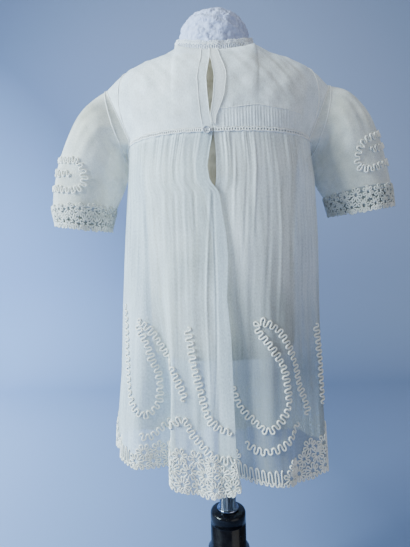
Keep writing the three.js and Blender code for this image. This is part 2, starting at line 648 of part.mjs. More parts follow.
// A ruffled lace edging that stands up round the neckline
function addNeckFrill() {
  const columns = FRILL_WAVES * COLUMNS_PER_GATHER;
  const grid = [0, 0.5, 1].map((up) => {
    const line = [];
    for (let c = 0; c < columns; c += 1) {
      const turn = (c / columns) * 360;
      const wave = Math.cos((c / COLUMNS_PER_GATHER) * 2 * Math.PI);
      const ruffle = up * (FRILL_FLARE + FRILL_RUFFLE * wave);
      const point = neckEdgePoint(turn);
      point.x += ruffle * Math.sin(radians(turn));
      point.y -= ruffle * Math.cos(radians(turn));
      point.z += SEAM_GAP + FRILL_HEIGHT * up;
      line.push(point);
    }
    return line;
  });
  addMesh("neck_frill", wallGeometry(grid, FRILL_WALL, true), CORD);
}

// The armhole that the sleeve is set into, by the turn round it
function armholePoint(direction, turn) {
  const fromTop = turn > 180 ? 360 - turn : turn;
  const side = turn > 180 ? -1 : 1;
  const yokeShare = fromTop / ARMHOLE_YOKE_TURN;
  if (yokeShare <= 1) {
    const point = yokePoint(1, yokeShare, direction, side, FRONT_YOKE_START);
    point.x += direction * 2 * SEAM_GAP;
    return point;
  }
  const share = (fromTop - ARMHOLE_YOKE_TURN) / (180 - ARMHOLE_YOKE_TURN);
  const fromBack = mix(SEAM_END_AZIMUTH, 90, share);
  const z = mix(SEAM_Z, ARMPIT_Z + 3 * SEAM_GAP, share);
  const point = bodyPoint(direction * (side > 0 ? fromBack : 180 - fromBack), z);
  point.x += direction * mix(2 * SEAM_GAP, ARMPIT_EASE, share);
  return point;
}

function sleevePoint(direction, row, turn) {
  const along = Math.cos(radians(turn));
  const out = Math.sin(radians(turn));
  return new THREE.Vector3(
    direction * ((row.outerX + row.innerX) / 2 + (row.outerX - row.innerX) / 2 * along),
    -row.depth * out,
    (row.outerZ + row.innerZ) / 2 + (row.outerZ - row.innerZ) / 2 * along,
  );
}

// Rows run from the cuff up to the armhole, columns round the sleeve
function sleeveGrid(direction, rows) {
  const rings = [];
  for (let r = rows.length - 1; r >= -1; r -= 1) {
    const ring = [];
    for (let c = 0; c < SLEEVE_COLUMNS; c += 1) {
      const turn = (c / SLEEVE_COLUMNS) * 360;
      if (r < 0) {
        ring.push(armholePoint(direction, turn));
        continue;
      }
      const point = sleevePoint(direction, rows[r], turn);
      const fade = Math.max(0, 1 - r / SLEEVE_CREASE_ROWS);
      const crease = SLEEVE_CREASE_DEPTH * fade * Math.cos(radians(turn * SLEEVE_CREASES));
      const outside = Math.max(0, Math.cos(radians(turn / 2)));
      point.x += direction * crease * outside * Math.cos(radians(turn));
      point.y -= crease * outside * Math.sin(radians(turn));
      ring.push(point);
    }
    rings.push(direction > 0 ? ring.reverse() : ring);
  }
  return rings;
}

function cuffGrid(direction, top, bottom) {
  const shares = [1, 0.5, 0];
  return shares.map((share, r) => {
    const ring = [];
    for (let c = 0; c < SLEEVE_COLUMNS; c += 1) {
      const turn = (c / SLEEVE_COLUMNS) * 360;
      const upper = sleevePoint(direction, top, turn);
      upper.z -= 2 * SEAM_GAP;
      const lower = sleevePoint(direction, bottom, turn);
      const point = upper.clone().lerp(lower, share);
      if (r === 0 && c % 2 === 0) point.z += CUFF_SCALLOP;
      ring.push(point);
    }
    return direction > 0 ? ring.reverse() : ring;
  });
}

function addSleeves() {
  const left = sleeveGrid(-1, SLEEVE_LEFT);
  const right = sleeveGrid(1, SLEEVE_RIGHT);
  addMesh("sleeve_left", wallGeometry(left, WALL, true), NET);
  addMesh("sleeve_right", wallGeometry(right, WALL, true), NET);
  const cuffLeft = cuffGrid(-1, SLEEVE_LEFT[SLEEVE_LEFT.length - 1], CUFF_LEFT);
  const cuffRight = cuffGrid(1, SLEEVE_RIGHT[SLEEVE_RIGHT.length - 1], CUFF_RIGHT);
  addMesh("cuff_left", wallGeometry(cuffLeft, BAND_WALL, true, cordRelief), CORD);
  addMesh("cuff_right", wallGeometry(cuffRight, BAND_WALL, true, cordRelief), CORD);
}

// The point of a panel's outer face at x and z, on the side that faces the viewer behind or in front
function onPanel(grid, x, z, side) {
  let best = null;
  const test = (a, b, c) => {
    const det = (b.x - a.x) * (c.z - a.z) - (c.x - a.x) * (b.z - a.z);
    if (Math.abs(det) < 1e-6) return;
    const s = ((x - a.x) * (c.z - a.z) - (c.x - a.x) * (z - a.z)) / det;
    const t = ((b.x - a.x) * (z - a.z) - (x - a.x) * (b.z - a.z)) / det;
    if (s < -1e-6 || t < -1e-6 || s + t > 1 + 1e-6) return;
    const y = a.y + (b.y - a.y) * s + (c.y - a.y) * t;
    if (best !== null && side * (y - best.point.y) > 0) return;
    const normal = b.clone().sub(a).cross(c.clone().sub(a)).normalize();
    best = { point: new THREE.Vector3(x, y, z), normal };
  };
  for (let r = 0; r < grid.length - 1; r += 1) {
    for (let c = 0; c < grid[r].length - 1; c += 1) {
      test(grid[r][c], grid[r][c + 1], grid[r + 1][c + 1]);
      test(grid[r][c], grid[r + 1][c + 1], grid[r + 1][c]);
    }
  }
  return best;
}

// A cord of three-sided section along places on a panel, with flat ends
function cordGeometry(places) {
  const rings = places.map(({ point, normal }, i) => {
    const before = places[Math.max(i - 1, 0)].point;
    const after = places[Math.min(i + 1, places.length - 1)].point;
    const along = after.clone().sub(before).normalize();
    const across = along.clone().cross(normal).normalize();
    const base = point.clone().addScaledVector(normal, CORD_LAY_GAP);
    return [
      base.clone().addScaledVector(across, -CORD_WIDTH / 2),
      base.clone().addScaledVector(normal, CORD_HEIGHT),
      base.clone().addScaledVector(across, CORD_WIDTH / 2),
    ];
  });
  return loftGeometry(rings);
}

// The directions in which a cord stands off its panel, evened out along the cord
function steadyNormals(places, side) {
  return places.map((place, i) => {
    const sum = new THREE.Vector3(0, -side, 0);
    for (let k = Math.max(0, i - 2); k <= Math.min(places.length - 1, i + 2); k += 1) {
      sum.add(places[k].normal);
    }
    return { point: place.point, normal: sum.normalize() };
  });
}

// A cord over a panel, through the places of a table
function addPanelCord(name, grid, table, side) {
  const corners = table.map((row) => new THREE.Vector3(row.x, 0, row.z));
  const curve = new THREE.CatmullRomCurve3(corners, false, "centripetal");
  const steps = Math.ceil(curve.getLength() / CORD_STEP);
  const places = curve.getSpacedPoints(steps).map((at) => onPanel(grid, at.x, at.z, side));
  addMesh(name, cordGeometry(steadyNormals(places, side)), CORD);
}

// A cord over a sleeve. share runs from the armhole down to the cuff.
function addSleeveCord(name, grid, direction) {
  const spans = grid.length - 1;
  const columns = grid[0].length;
  const normals = gridNormals(grid, true);
  const scale = SLEEVE_LOOP_SCALE;
  const corners = SLEEVE_LOOP.map((row) => (
    new THREE.Vector3(row.turn * scale.turn, row.share * scale.share, 0)
  ));
  const curve = new THREE.CatmullRomCurve3(corners, false, "centripetal");
  const steps = Math.ceil(curve.getLength() / CORD_STEP);
  const places = curve.getSpacedPoints(steps).map((at) => {
    const column = (at.x / scale.turn / 360) * columns;
    const turned = direction > 0 ? columns - 1 - column : column;
    const up = (1 - at.y / scale.share) * spans;
    const c = Math.floor(turned);
    const r = THREE.MathUtils.clamp(Math.floor(up), 0, spans - 1);
    const blend = (lines) => lines[r][c].clone().lerp(lines[r][c + 1], turned - c)
      .lerp(lines[r + 1][c].clone().lerp(lines[r + 1][c + 1], turned - c), up - r);
    return { point: blend(grid), normal: blend(normals).normalize() };
  });
  addMesh(name, cordGeometry(places), CORD);
}

function addCords() {
  const left = skirtGrid(PANELS.back_left);
  const right = skirtGrid(PANELS.back_right);
  addPanelCord("cord_leaf_back_left", left, LEAF_LEFT, 1);
  addPanelCord("cord_vine_back", left, VINE_CENTRE, 1);
  addPanelCord("cord_leaf_back_right", right, LEAF_RIGHT, 1);
  addPanelCord("cord_vine_front", skirtGrid(PANELS.front), VINE_FRONT, -1);
  addSleeveCord("cord_loop_sleeve_left", sleeveGrid(-1, SLEEVE_LEFT), -1);
  addSleeveCord("cord_loop_sleeve_right", sleeveGrid(1, SLEEVE_RIGHT), 1);
}

function addButton() {
  const button = new THREE.CylinderGeometry(BUTTON.backRadius, BUTTON.radius, BUTTON.thickness, BUTTON.sides);
  const seat = bodyPoint(azimuthAtX(BUTTON.x, BUTTON.z), BUTTON.z);
  const mesh = new THREE.Mesh(button, new THREE.MeshStandardMaterial(PEARL));
  mesh.name = "button";
  mesh.rotation.z = radians(azimuthAtX(BUTTON.x, BUTTON.z));
  mesh.position.set(BUTTON.x, seat.y - BUTTON.stand - BUTTON.thickness / 2, BUTTON.z);
  group.add(mesh);
}

function formRows() {
  const shoulder = FORM_SHOULDER.map((row) => (
    { ...row, z: shoulderZ(row.halfWidth) - WALL - row.gap }
  ));
  return [...FORM, ...shoulder, FORM_NECK];
}

function addForm() {
  const rings = formRows().map((row) => {
    const ring = [];
    for (let c = 0; c < FORM_COLUMNS; c += 1) ring.push(sectionPoint(row, (c / FORM_COLUMNS) * 360, row.z));
    return ring;
  });
  addMesh("form_torso", loftGeometry(rings), FORM_CLOTH);
}

function lathe(profile) {
  const points = profile.map((row) => new THREE.Vector2(row.radius, row.z));
  const geometry = new THREE.LatheGeometry(points, ROUND_COLUMNS);
  geometry.rotateX(Math.PI / 2);
  return geometry;
}

function addStand() {
  const bottom = FORM[0].z - SEAM_GAP;
  const cap = [{ radius: 0, z: CAP[0].z }, ...CAP, { radius: 0, z: CAP_TOP_Z }];
  const capGeometry = lathe(cap);
  capGeometry.translate(NECK_SHIFT_X, 0, 0);
  addMesh("neck_cap", capGeometry, TAPE);
  const poleFoot = HUB_TOP_Z + SEAM_GAP;
  addMesh("pole", lathe([
    { radius: 0, z: poleFoot }, { radius: COLLAR_RADIUS, z: poleFoot },
    { radius: COLLAR_RADIUS, z: poleFoot + COLLAR_HEIGHT },
    { radius: POLE_RADIUS, z: poleFoot + COLLAR_HEIGHT },
    { radius: POLE_RADIUS, z: bottom }, { radius: 0, z: bottom },
  ]), CHROME);
  const hubBottom = BASE_TOP_Z + SEAM_GAP;
  addMesh("stand_hub", lathe([
    { radius: 0, z: hubBottom }, { radius: HUB_FOOT_RADIUS, z: hubBottom },
    { radius: HUB_FOOT_RADIUS, z: HUB_STEP_Z - HUB_BEVEL }, { radius: HUB_RADIUS, z: HUB_STEP_Z },
    { radius: HUB_RADIUS, z: HUB_TOP_Z - HUB_BEVEL }, { radius: HUB_RADIUS - HUB_BEVEL, z: HUB_TOP_Z },
    { radius: 0, z: HUB_TOP_Z },
  ]), BLACK);
  addMesh("stand_base", lathe([{ radius: 0, z: 0 }, ...BASE, { radius: 0, z: BASE_TOP_Z }]), BLACK);
}

addForm();
addStand();
addYoke();
addBeadings();
addSkirt();
addSleeves();
addNeckFrill();
addButton();
addCords();

export default group;
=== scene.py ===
# Looks of a child's short sheer christening gown, closed at the back, on a limbless dress form.
# The gown's own sizes are millimetres, as in the model. They become metres where a mesh is made.
import math

import bpy
import numpy as np
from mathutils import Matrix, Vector, noise


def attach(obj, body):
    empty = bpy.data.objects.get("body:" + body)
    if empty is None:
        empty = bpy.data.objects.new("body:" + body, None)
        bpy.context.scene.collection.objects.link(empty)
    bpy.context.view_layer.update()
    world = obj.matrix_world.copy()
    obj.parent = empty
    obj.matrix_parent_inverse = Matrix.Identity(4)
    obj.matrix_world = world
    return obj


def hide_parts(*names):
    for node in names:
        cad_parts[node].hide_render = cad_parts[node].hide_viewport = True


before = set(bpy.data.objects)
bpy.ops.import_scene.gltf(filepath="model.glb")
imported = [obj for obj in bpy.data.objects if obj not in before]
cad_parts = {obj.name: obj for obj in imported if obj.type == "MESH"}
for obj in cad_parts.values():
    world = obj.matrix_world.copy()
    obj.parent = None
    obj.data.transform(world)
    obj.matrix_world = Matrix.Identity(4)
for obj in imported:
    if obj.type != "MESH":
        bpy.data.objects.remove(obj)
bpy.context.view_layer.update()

MM = 0.001

# Camera: level, on the centre back's side, a little rolled
CAMERA_PLACE = (-0.01974, -0.480, 0.412)
CAMERA_LENS_MM = 26.98
SENSOR_HEIGHT_MM = 36
CAMERA_ROLL_DEGREES = 1.494

# Levels and seams of the gown
SEAM_Z = 553
BEADING_HEIGHT, SKIRT_UNDER_BEADING = 5, 1.2
ARMPIT_Z = 541.5
SEAM_GAP = 0.3
SHEET_DEPTH = 0.35      # a cloth sheet lies this far inside its solid's outer face
NECK_BACK_Z, NECK_FRONT_Z, NECK_SIDE_Z = 649, 645, 671
NECK_SHIFT_X, NECK_HALF_WIDTH, NECK_HALF_DEPTH, NECK_CURVE = -2, 45, 43.5, 1.5
NECK_SHARE = 0.42
SHOULDER_END_X = 128
SEAM_END_AZIMUTH = 68.7
ARMHOLE_YOKE_TURN = 120
ARMPIT_EASE = 2
SHOULDER_LINE = {"x": (44, 60, 80, 100, 115, 128), "z": (671, 662, 656.5, 648.5, 638, 626.5)}

# Outline from the yoke seam down
BODY = {
    "z": (190, 250, 300, 380, 451, 513, 541, 560),
    "half_width": (122, 119, 116, 112.5, 110, 106, 103, 103),
    "half_depth": (87, 85, 84, 83, 82, 81, 79, 78),
    "swing": (-7, -6, -4, -2.5, 0, 1.2, 0, 0),
    "square": (2.2, 2.2, 2.2, 2.3, 2.4, 2.5, 2.6, 2.6),
}

# Hem level and height of its corded border, by degrees round from centre back
HEM = {
    "azimuth": (-180, -150, -115, -90, -62, -48, -38, -30, -12, 4, 16, 36, 52, 68, 90, 120, 150, 180),
    "z": (198, 202, 214, 228, 220, 216, 212, 203, 196, 198, 207, 203, 200, 205, 212, 206, 199, 198),
    "border": (26, 18, 22, 24, 17, 24, 34, 42, 38, 34, 16, 16, 38, 34, 24, 18, 30, 26),
}

# Back closing and neck slit: where the left and the right edge run
LAP = {
    "z": (195, 231, 347, 387, 427, 448, 471, 491, 503, 517, 532, 553),
    "left": (12, 6, 4, 1, 3, 2, -1.5, -4, -13, -15, -12.5, -8.4),
    "right": (-2, -5, -6, -8, -6, -7, -9, -9.5, -6.5, -6, -6, -7.6),
}
SLIT = {
    "z": (556, 567, 585, 607, 622, 632, 649),
    "left": (-8.8, -11.2, -12.8, -13.8, -11.5, -9.6, -9.2),
    "right": (-8, -10.4, -7.2, -5.4, -7, -8.8, -8.4),
}

# Large folds: azimuth, spread, reach at the hem, and start
FOLD_FULL_Z = 200
FOLDS = {
    "back_left": ((-43, 11, -27, 450), (-60, 9, 4, 520), (-73, 7, -6, 500), (-15, 10, -4, 480)),
    "back_right": (
        (6, 27, -25, 470), (40, 8, 4, 500), (51, 7, -7, 470), (63, 8, 5, 520), (75, 7, -5, 480),
    ),
    "front": (
        (104, 8, -6, 500), (118, 9, 5, 520), (134, 11, -10, 460), (151, 8, 5, 500), (167, 10, -6, 440),
        (184, 9, 5, 510), (201, 12, -9, 470), (219, 9, 4, 520), (235, 8, -9, 450), (251, 8, 4, 500),
        (262, 6, -4, 480),
    ),
}
# The softer creases between them: azimuth, spread, reach, upper end, lower end
CREASES = {
    "back_left": (
        (-80, 2.4, 0.9, 540, 330), (-66, 2.1, -1.1, 545, 400), (-58, 1.8, 1.0, 540, 300),
        (-50, 2.0, -0.9, 530, 360), (-37, 2.2, 1.2, 548, 380), (-31, 1.7, -1.0, 545, 300),
        (-25, 2.0, 1.1, 548, 340), (-19, 1.8, -1.2, 548, 420), (-10, 1.6, 1.2, 540, 250),
        (-6, 1.4, -1.0, 520, 230),
    ),
    "back_right": (
        (8, 1.8, 1.1, 546, 440), (15, 2.0, -1.1, 548, 400), (21, 1.6, 1.3, 549, 430),
        (29, 2.2, -0.9, 540, 330), (36, 1.8, 1.0, 545, 300), (46, 2.0, -1.0, 540, 380),
        (56, 2.1, 1.0, 548, 320), (68, 2.2, -1.1, 540, 360), (80, 2.2, 0.9, 535, 300),
    ),
    "front": (
        (97, 2.2, 0.9, 540, 330), (111, 2.0, -1.0, 545, 380), (125, 2.2, 1.1, 540, 300),
        (141, 1.9, -1.0, 548, 400), (146, 1.8, 1.1, 546, 330), (158, 2.1, -0.9, 540, 360),
        (172, 1.8, 1.2, 548, 420), (179, 1.7, -1.1, 545, 300), (192, 2.0, 1.1, 548, 350),
        (209, 1.9, -1.1, 540, 380), (214, 1.8, 1.0, 546, 300), (227, 2.1, -0.9, 548, 400),
        (243, 2.0, 1.0, 540, 330), (256, 2.1, -1.0, 545, 360),
    ),
}

# Gathers under the yoke seam, and the ripples that they open into
GATHERS = {"back_left": 10, "back_right": 10, "front": 20}
PHASES = {"back_left": 0.4, "back_right": 1.3, "front": 2.1}
GATHER_DEPTH, GATHERS_END_Z, GATHER_UNEVENNESS, GATHER_BEATS = 0.36, 450, 0.45, 7
GATHER_STRAY = 1.3
CREASE_SHARE = 0.55
FINE_GATHER_DEPTH, FINE_GATHERS_PER_GATHER, FINE_GATHERS_END_Z = 0.2, 3.3, 495
RIPPLE_DEPTH, RIPPLE_START_Z, RIPPLE_FULL_Z = 1.7, 523, 243
RIPPLE_EDGE_SHARE, RIPPLE_EDGE_RISE = 0.3, 10
TUCK_DEPTH, TUCK_START_Z, TUCK_FULL_Z, TUCK_SPREAD = 4.5, 508, 489, 24
SIDE_GAP_AZIMUTH = 0.1
SKIRT_ROWS, SKIRT_COLUMNS_PER_GATHER, SKIRT_MIDDLE_Z, LEVEL_ROUNDS = 84, 24, 400.0, 4
LAP_FACING_COLUMNS, LAP_FACING_DEPTH = 26, 0.5
# The skirt's surface under its cords has a row every few millimetres from this level up
LEVEL_BOTTOM_Z, LEVEL_TOP_Z, LEVEL_STEP = 192.0, 552.0, 2.0
SURFACE_COLUMNS_PER_GATHER = 48

# Yoke, and the skirt's gathered top that stands up inside it
YOKE_ROWS = 66
YOKE_COLUMNS = {"back_left": 96, "back_right": 160, "front": 96}
CRINKLE, HEADING_TOP_Z, LOW_HEADING_TOP_Z = 0.26, 577, 568
HEADING_FROM_X, HEADING_TO_X, HEADING_DEPTH, HEADING_WAVE = 1, 86, 0.8, 0.3
HEADING_EDGE_RADIUS = 0.42

# Facing on the slit's right edge: its width, and its folded section as shares of that and lifts
PLACKET = {"z": (556, 570, 588, 615, 636, 649), "width": (2.2, 6.5, 10.5, 12, 9, 5.5)}
BAND_SHARES = (0, 0.2, 0.4, 0.6, 0.8, 0.97, 1, 0.97, 0.8, 0.6, 0.4, 0.2, 0)
BAND_LIFTS = (0.7,) * 6 + (0.5,) + (0.3,) * 6
PLACKET_EDGE_RADIUS, SLIT_STITCH_INSET = 0.34, 9.0

# Openwork in the yoke seam, and the cut edges behind it
BEADING_RAILS, BEADING_SAG = (-1.5, 1.6), 0.25
BEADING_MM_PER_DEGREE, BEADING_RADIUS, BEADING_SAMPLES = 1.45, 0.72, 120
BEADING_SPACING = {"back_left": 2.0, "back_right": 2.8, "front": 2.0}
SEAM_ALLOWANCE, SEAM_ALLOWANCE_DEPTH, SEAM_ALLOWANCE_ROWS = 5.5, 1.3, 7

# Sleeves, armhole first. outer and inner are the ends of each section seen from the back.
# The cuff is between the last two.
SLEEVE_LEFT = {
    "outer_x": (146, 161, 174, 186, 192, 193.5, 190), "outer_z": (612, 594, 568, 537, 508, 489, 476),
    "inner_x": (105.8, 107.2, 110, 114, 119, 123, 128.5), "inner_z": (536, 527, 517, 507, 496, 487, 467),
    "depth": (43, 46, 46, 43, 40, 37.5, 36),
}
SLEEVE_RIGHT = {
    "outer_x": (145, 160, 175, 185.5, 193, 197.5, 199.5), "outer_z": (619, 606, 586, 560, 529, 508, 489),
    "inner_x": (106.8, 108.8, 111.5, 114.5, 119, 123, 128), "inner_z": (536, 528, 519, 511, 503, 497, 478),
    "depth": (43, 46, 46, 43, 40, 37.5, 36),
}
SLEEVE_CREASES, SLEEVE_COLUMNS, SLEEVE_ROWS, CUFF_ROWS = 8, 192, 60, 20
SLEEVE_LENGTH, DEGREE_LENGTH = 120, 0.75
CUFF_LEAN, CUFF_CORD_RISE, CUFF_DROP = 4.5, 3.5, 1.5
SLEEVE_HEAD_FOLD = ((0.02, 24), (0.045, 50), (0.075, 80), (0.1, 110), (0.1, 140), (0.07, 170))
ARMHOLE_SEAM_RADIUS, ARMHOLE_SAMPLES = 0.55, 140
# How far over the yoke the armhole's turned edge reaches: shares of the yoke's row, top and bottom
TURNED_EDGE = (0.83, 0.985)

# Couched cord and the looped cord of the borders, in millimetres where nothing else is said
CORD_RADIUS, BORDER_CORD_RADIUS = 0.88, 0.82
MEANDER_HALF_WIDTH, MEANDER_WAVELENGTH = 3.3, 6.9
LONG_LOOP_WAVELENGTH, EDGE_LOOP_WAVELENGTH = 6.2, 5.2
POINTS_PER_WAVE, LOOP_LEAN = 14, 0.085
HEM_FLOWER_RADIUS, CUFF_FLOWER_RADIUS = 8.0, 5.6
HEM_CORD_LIFT, CUFF_CORD_LIFT, LOOP_BELOW_HEM = 0.9, 0.95, 2.2
EDGE_LOOP_LEVEL, EDGE_LOOP_HALF_WIDTH = 0.6, 1.7
# In flower radii: the lowest border that has flowers, and the step from one flower to the next above
FLOWER_BORDER, FLOWER_RISE = 2.5, 1.72
FLOWER_GAP, FLOWER_SINK = 0.5, 1.6
PETAL_ROUNDNESS, POINTS_PER_PETAL = 0.7, 12
HEM_SAMPLES, HEM_MIDDLE_Z = 400, 210.0
MOTIF_NODES = {
    "back_left": ("cord_leaf_back_left", "cord_vine_back"),
    "back_right": ("cord_leaf_back_right",),
    "front": ("cord_vine_front",),
}

# Routes of the couched cord as x and z seen from behind
ROUTES = {}
ROUTES["back_left"] = (
    ((-90, 366), (-78, 357), (-66, 340), (-56, 322), (-46, 300), (-42, 288)),
    ((-90, 364), (-88, 356), (-80, 340), (-76, 325), (-70, 312), (-69, 294), (-71, 280), (-80, 271),
     (-87, 270), (-96, 277), (-100, 290), (-102, 310), (-103, 336), (-104, 366), (-105, 381)),
    ((-91, 250), (-81, 247), (-68, 255), (-58, 262), (-48, 270), (-42, 268), (-35, 254), (-27, 245),
     (-18, 236), (-5, 231), (5, 233)),
    ((-38, 360), (-35, 338), (-33, 322), (-28, 302), (-24, 284), (-19, 270), (-9, 261), (3, 258)),
)
ROUTES["back_right"] = (
    ((16, 242), (29, 236), (47, 238), (60, 245), (70, 259)),
    ((6, 297), (10, 283), (17, 272), (29, 262), (37, 256), (45, 259), (54, 268), (60, 280), (59, 297),
     (56, 315), (49, 329), (42, 340), (31, 354), (30, 362), (36, 363), (50, 355), (59, 342), (65, 328),
     (70, 310), (73, 294), (79, 279), (82, 265)),
    ((94, 357), (97, 332), (99, 305), (100, 273)),
)
# The front is the same on both sides of its middle
HALF_VINE = ((83, 266), (78, 290), (71, 313), (62, 336), (51, 354), (37, 363), (30, 358), (40, 340),
             (52, 322), (58, 300), (56, 278), (44, 260), (24, 247))
FRONT_SIDES = (((100, 273), (99, 305), (97, 332), (94, 357)), ((80, 250), (66, 240), (48, 237), (30, 240)))


def mirrored(route):
    return tuple((-x, z) for x, z in route)


ROUTES["front"] = [mirrored(HALF_VINE) + ((0, 242),) + HALF_VINE[::-1]]
for side_route in FRONT_SIDES:
    ROUTES["front"] += [mirrored(side_route), side_route]

# The loop on a sleeve: share of the way down to the cuff, and the turn round from the shoulder
ROUTES_SLEEVE = (
    ((0.63, 30), (0.62, 48), (0.61, 64), (0.59, 80), (0.63, 92), (0.7, 99), (0.77, 97), (0.81, 86),
     (0.82, 70), (0.81, 48), (0.81, 26)),
    ((0.7, 30), (0.71, 48), (0.7, 62), (0.69, 74)),
)

# Lace frill, as waves between two shares of its height and lines along it
FRILL_COLUMNS, FRILL_ROWS, FRILL_HEIGHT, FRILL_SINK, FRILL_RUFFLE = 320, 7, 11, 0.6, 0.9
LACE_RADIUS, LACE_LINE_LIFT = 0.45, 0.35
FRILL_LOOPS = ((0.78, 1.0, 84), (0.12, 0.62, 60))
FRILL_LINES = (0.06, 0.7)

# Button: its section as shares of radius and thickness, and a stitch as steps in y and z
BUTTON = {"x": -14.6, "z": 552.3, "radius": 3.8, "thickness": 2, "stand": 0.8}
BUTTON_PROFILE = ((0.01, 0), (0.84, 0), (0.98, 0.35), (1.0, 0.8), (0.92, 1.0), (0.8, 0.95),
                  (0.72, 0.75), (0.5, 0.62), (0.01, 0.62))
BUTTON_SEGMENTS, BUTTON_WELL, STITCH_OFFSET, BUTTON_THREAD_RADIUS = 40, 0.62, 0.9, 0.25
BUTTON_STITCH = ((0.5, -1.1), (-0.35, -0.7), (-0.35, 0.7), (0.5, 1.1))

# Dress form, wrapped neck and stand
FORM = {
    "z": (320, 324, 336, 390, 455, 520, 570, 600, 622, 636),
    "half_width": (72, 79, 82, 83, 84, 88, 94, 100, 104, 103),
    "half_depth": (52, 58, 61, 64, 68, 70, 70, 66, 57, 46),
    "square": (2.2, 2.2, 2.2, 2.2, 2.2, 2.2, 2.2, 2.2, 2.1, 2),
}
FORM_SHOULDER = {"half_width": (97, 84, 64), "half_depth": (34, 29, 26), "gap": (1.8, 0.7, 0.7)}
FORM_NECK = {"z": 664.5, "half_width": 39.5, "half_depth": 38}
FORM_COLUMNS, FORM_ROWS, CAP_COLUMNS, CAP_ROWS, LATHE_SEGMENTS = 96, 70, 150, 64, 96
CLOTH_WALL = 1.2
CAP = {
    "radius": (39, 40, 41, 41.4, 40, 36, 28, 15, 0.5),
    "z": (654, 664.8, 671, 681, 689.5, 698, 705, 709.7, 711),
}
POLE_RADIUS = 9.4
HUB_RADIUS, HUB_TOP_Z, HUB_STEP_Z, HUB_FOOT_RADIUS, HUB_BEVEL = 20.5, 136, 95, 24, 3
COLLAR_RADIUS, COLLAR_HEIGHT = 12.5, 3
BASE = {"radius": (112, 112, 104, 82), "z": (0, 6, 9.5, 12)}
BASE_BEVEL = 0.8
FLOOR = {"reach": 2600, "back": 1000, "radius": 420, "height": 2600}

# Weave of the net and twist of the cord, in millimetres
THREAD_SLANT, THREAD_PERIOD, CORD_TWIST_LENGTH = 0.6, 1.6, 1.5
# In metres: the shade painted on a panel is darkest up to this level, and fades at this rate above it
PAINTED_SHADE_TOP, PAINTED_SHADE_FADE = 0.31, 7.0


def mix(a, b, share):
    return a + (b - a) * share


def ease(share):
    t = np.clip(share, 0, 1)
    return t * t * (3 - 2 * t)


def drop_share(z, start, full):
    """0 above the level start, and 1 below the level full."""
    return ease((start - z) / (start - full))


def hump(distance):
    return np.cos(np.clip(distance, 0, 1) * math.pi / 2) ** 2


def turns_round(count):
    return np.arange(count) * 360 / count


def sine(degrees):
    return np.sin(np.radians(degrees))


def cosine(degrees):
    return np.cos(np.radians(degrees))


def outward_at(azimuth):
    """The level direction away from the upright axis."""
    return np.stack([sine(azimuth), -cosine(azimuth), 0 * azimuth], -1)


def look_up(table, key, at, column):
    return np.interp(at, table[key], table[column])


# The gown's surfaces, as in the model but finer

def section_xy(half_width, half_depth, square, azimuth):
    s, c = sine(azimuth), cosine(azimuth)
    total = np.abs(s / half_width) ** square + np.abs(c / half_depth) ** square
    radius = total ** (-1 / square)
    return radius * s, -radius * c


def body_point(azimuth, z):
    value = lambda column: look_up(BODY, "z", z, column)
    x, y = section_xy(value("half_width"), value("half_depth"), value("square"), azimuth)
    return np.stack(np.broadcast_arrays(value("swing") + x, y, z), -1).astype(float)


def azimuth_at_x(x, z):
    swing = look_up(BODY, "z", z, "swing")
    return np.degrees(np.arctan2(x - swing, look_up(BODY, "z", z, "half_depth")))


def hem_value(azimuth, column):
    turned = np.where(azimuth > 180, azimuth - 360, azimuth)
    return look_up(HEM, "azimuth", turned, column)


def skirt_top_z(azimuth):
    from_back = np.where(azimuth > 90, np.abs(180 - azimuth), np.abs(azimuth))
    share = np.maximum(0, (from_back - SEAM_END_AZIMUTH) / (90 - SEAM_END_AZIMUTH))
    return mix(SEAM_Z - BEADING_HEIGHT / 2 + SKIRT_UNDER_BEADING, ARMPIT_Z, share)


def panel_ends(panel, z):
    if panel == "back_left":
        return -90 + SIDE_GAP_AZIMUTH + 0 * z, azimuth_at_x(look_up(LAP, "z", z, "left"), z)
    if panel == "back_right":
        return azimuth_at_x(look_up(LAP, "z", z, "right"), z), 90 - SIDE_GAP_AZIMUTH + 0 * z
    return 90 + SIDE_GAP_AZIMUTH + 0 * z, 270 - SIDE_GAP_AZIMUTH + 0 * z


def fold_reach(panel, azimuth, z):
    reach = 0
    for centre, spread, depth, start in FOLDS[panel]:
        down = drop_share(z, start, FOLD_FULL_Z)
        reach = reach + depth * down * hump(np.abs(azimuth - centre) / spread)
    return reach


def crease_reach(panel, azimuth, z):
    reach = 0
    for centre, spread, depth, top, bottom in CREASES[panel]:
        wander = 1.5 * np.sin(z / 47 + centre)
        along = np.clip((top - z) / (top - bottom), 0, 1)
        strength = np.sin(math.pi * along ** 0.7)
        reach = reach + CREASE_SHARE * depth * strength * hump(np.abs(azimuth - centre - wander) / spread)
    return reach


def gather_reach(panel, share, azimuth, z):
    phase = PHASES[panel]
    stray = GATHER_STRAY * (np.sin(share * 17.3 + phase) + 0.7 * np.sin(share * 41.9 + 2 * phase))
    turns = share * GATHERS[panel] * 2 * math.pi + stray
    uneven = 1 + GATHER_UNEVENNESS * np.sin(np.radians(azimuth * GATHER_BEATS) + phase)
    fade = 1 - drop_share(z, SEAM_Z, GATHERS_END_Z)
    fine_fade = 1 - drop_share(z, SEAM_Z, FINE_GATHERS_END_Z)
    opening = drop_share(z, RIPPLE_START_Z, RIPPLE_FULL_Z)
    from_edge = np.minimum(share, 1 - share)
    ends = np.minimum(1, RIPPLE_EDGE_RISE * from_edge + RIPPLE_EDGE_SHARE)
    gather = GATHER_DEPTH * fade * np.cos(turns)
    fine = FINE_GATHER_DEPTH * fine_fade * np.cos(turns * FINE_GATHERS_PER_GATHER + np.sin(turns * 0.37))
    ripple = RIPPLE_DEPTH * opening * np.cos(share * GATHERS[panel] * math.pi + phase + 0.5 * stray)
    return (gather + fine + ripple * ends) * uneven


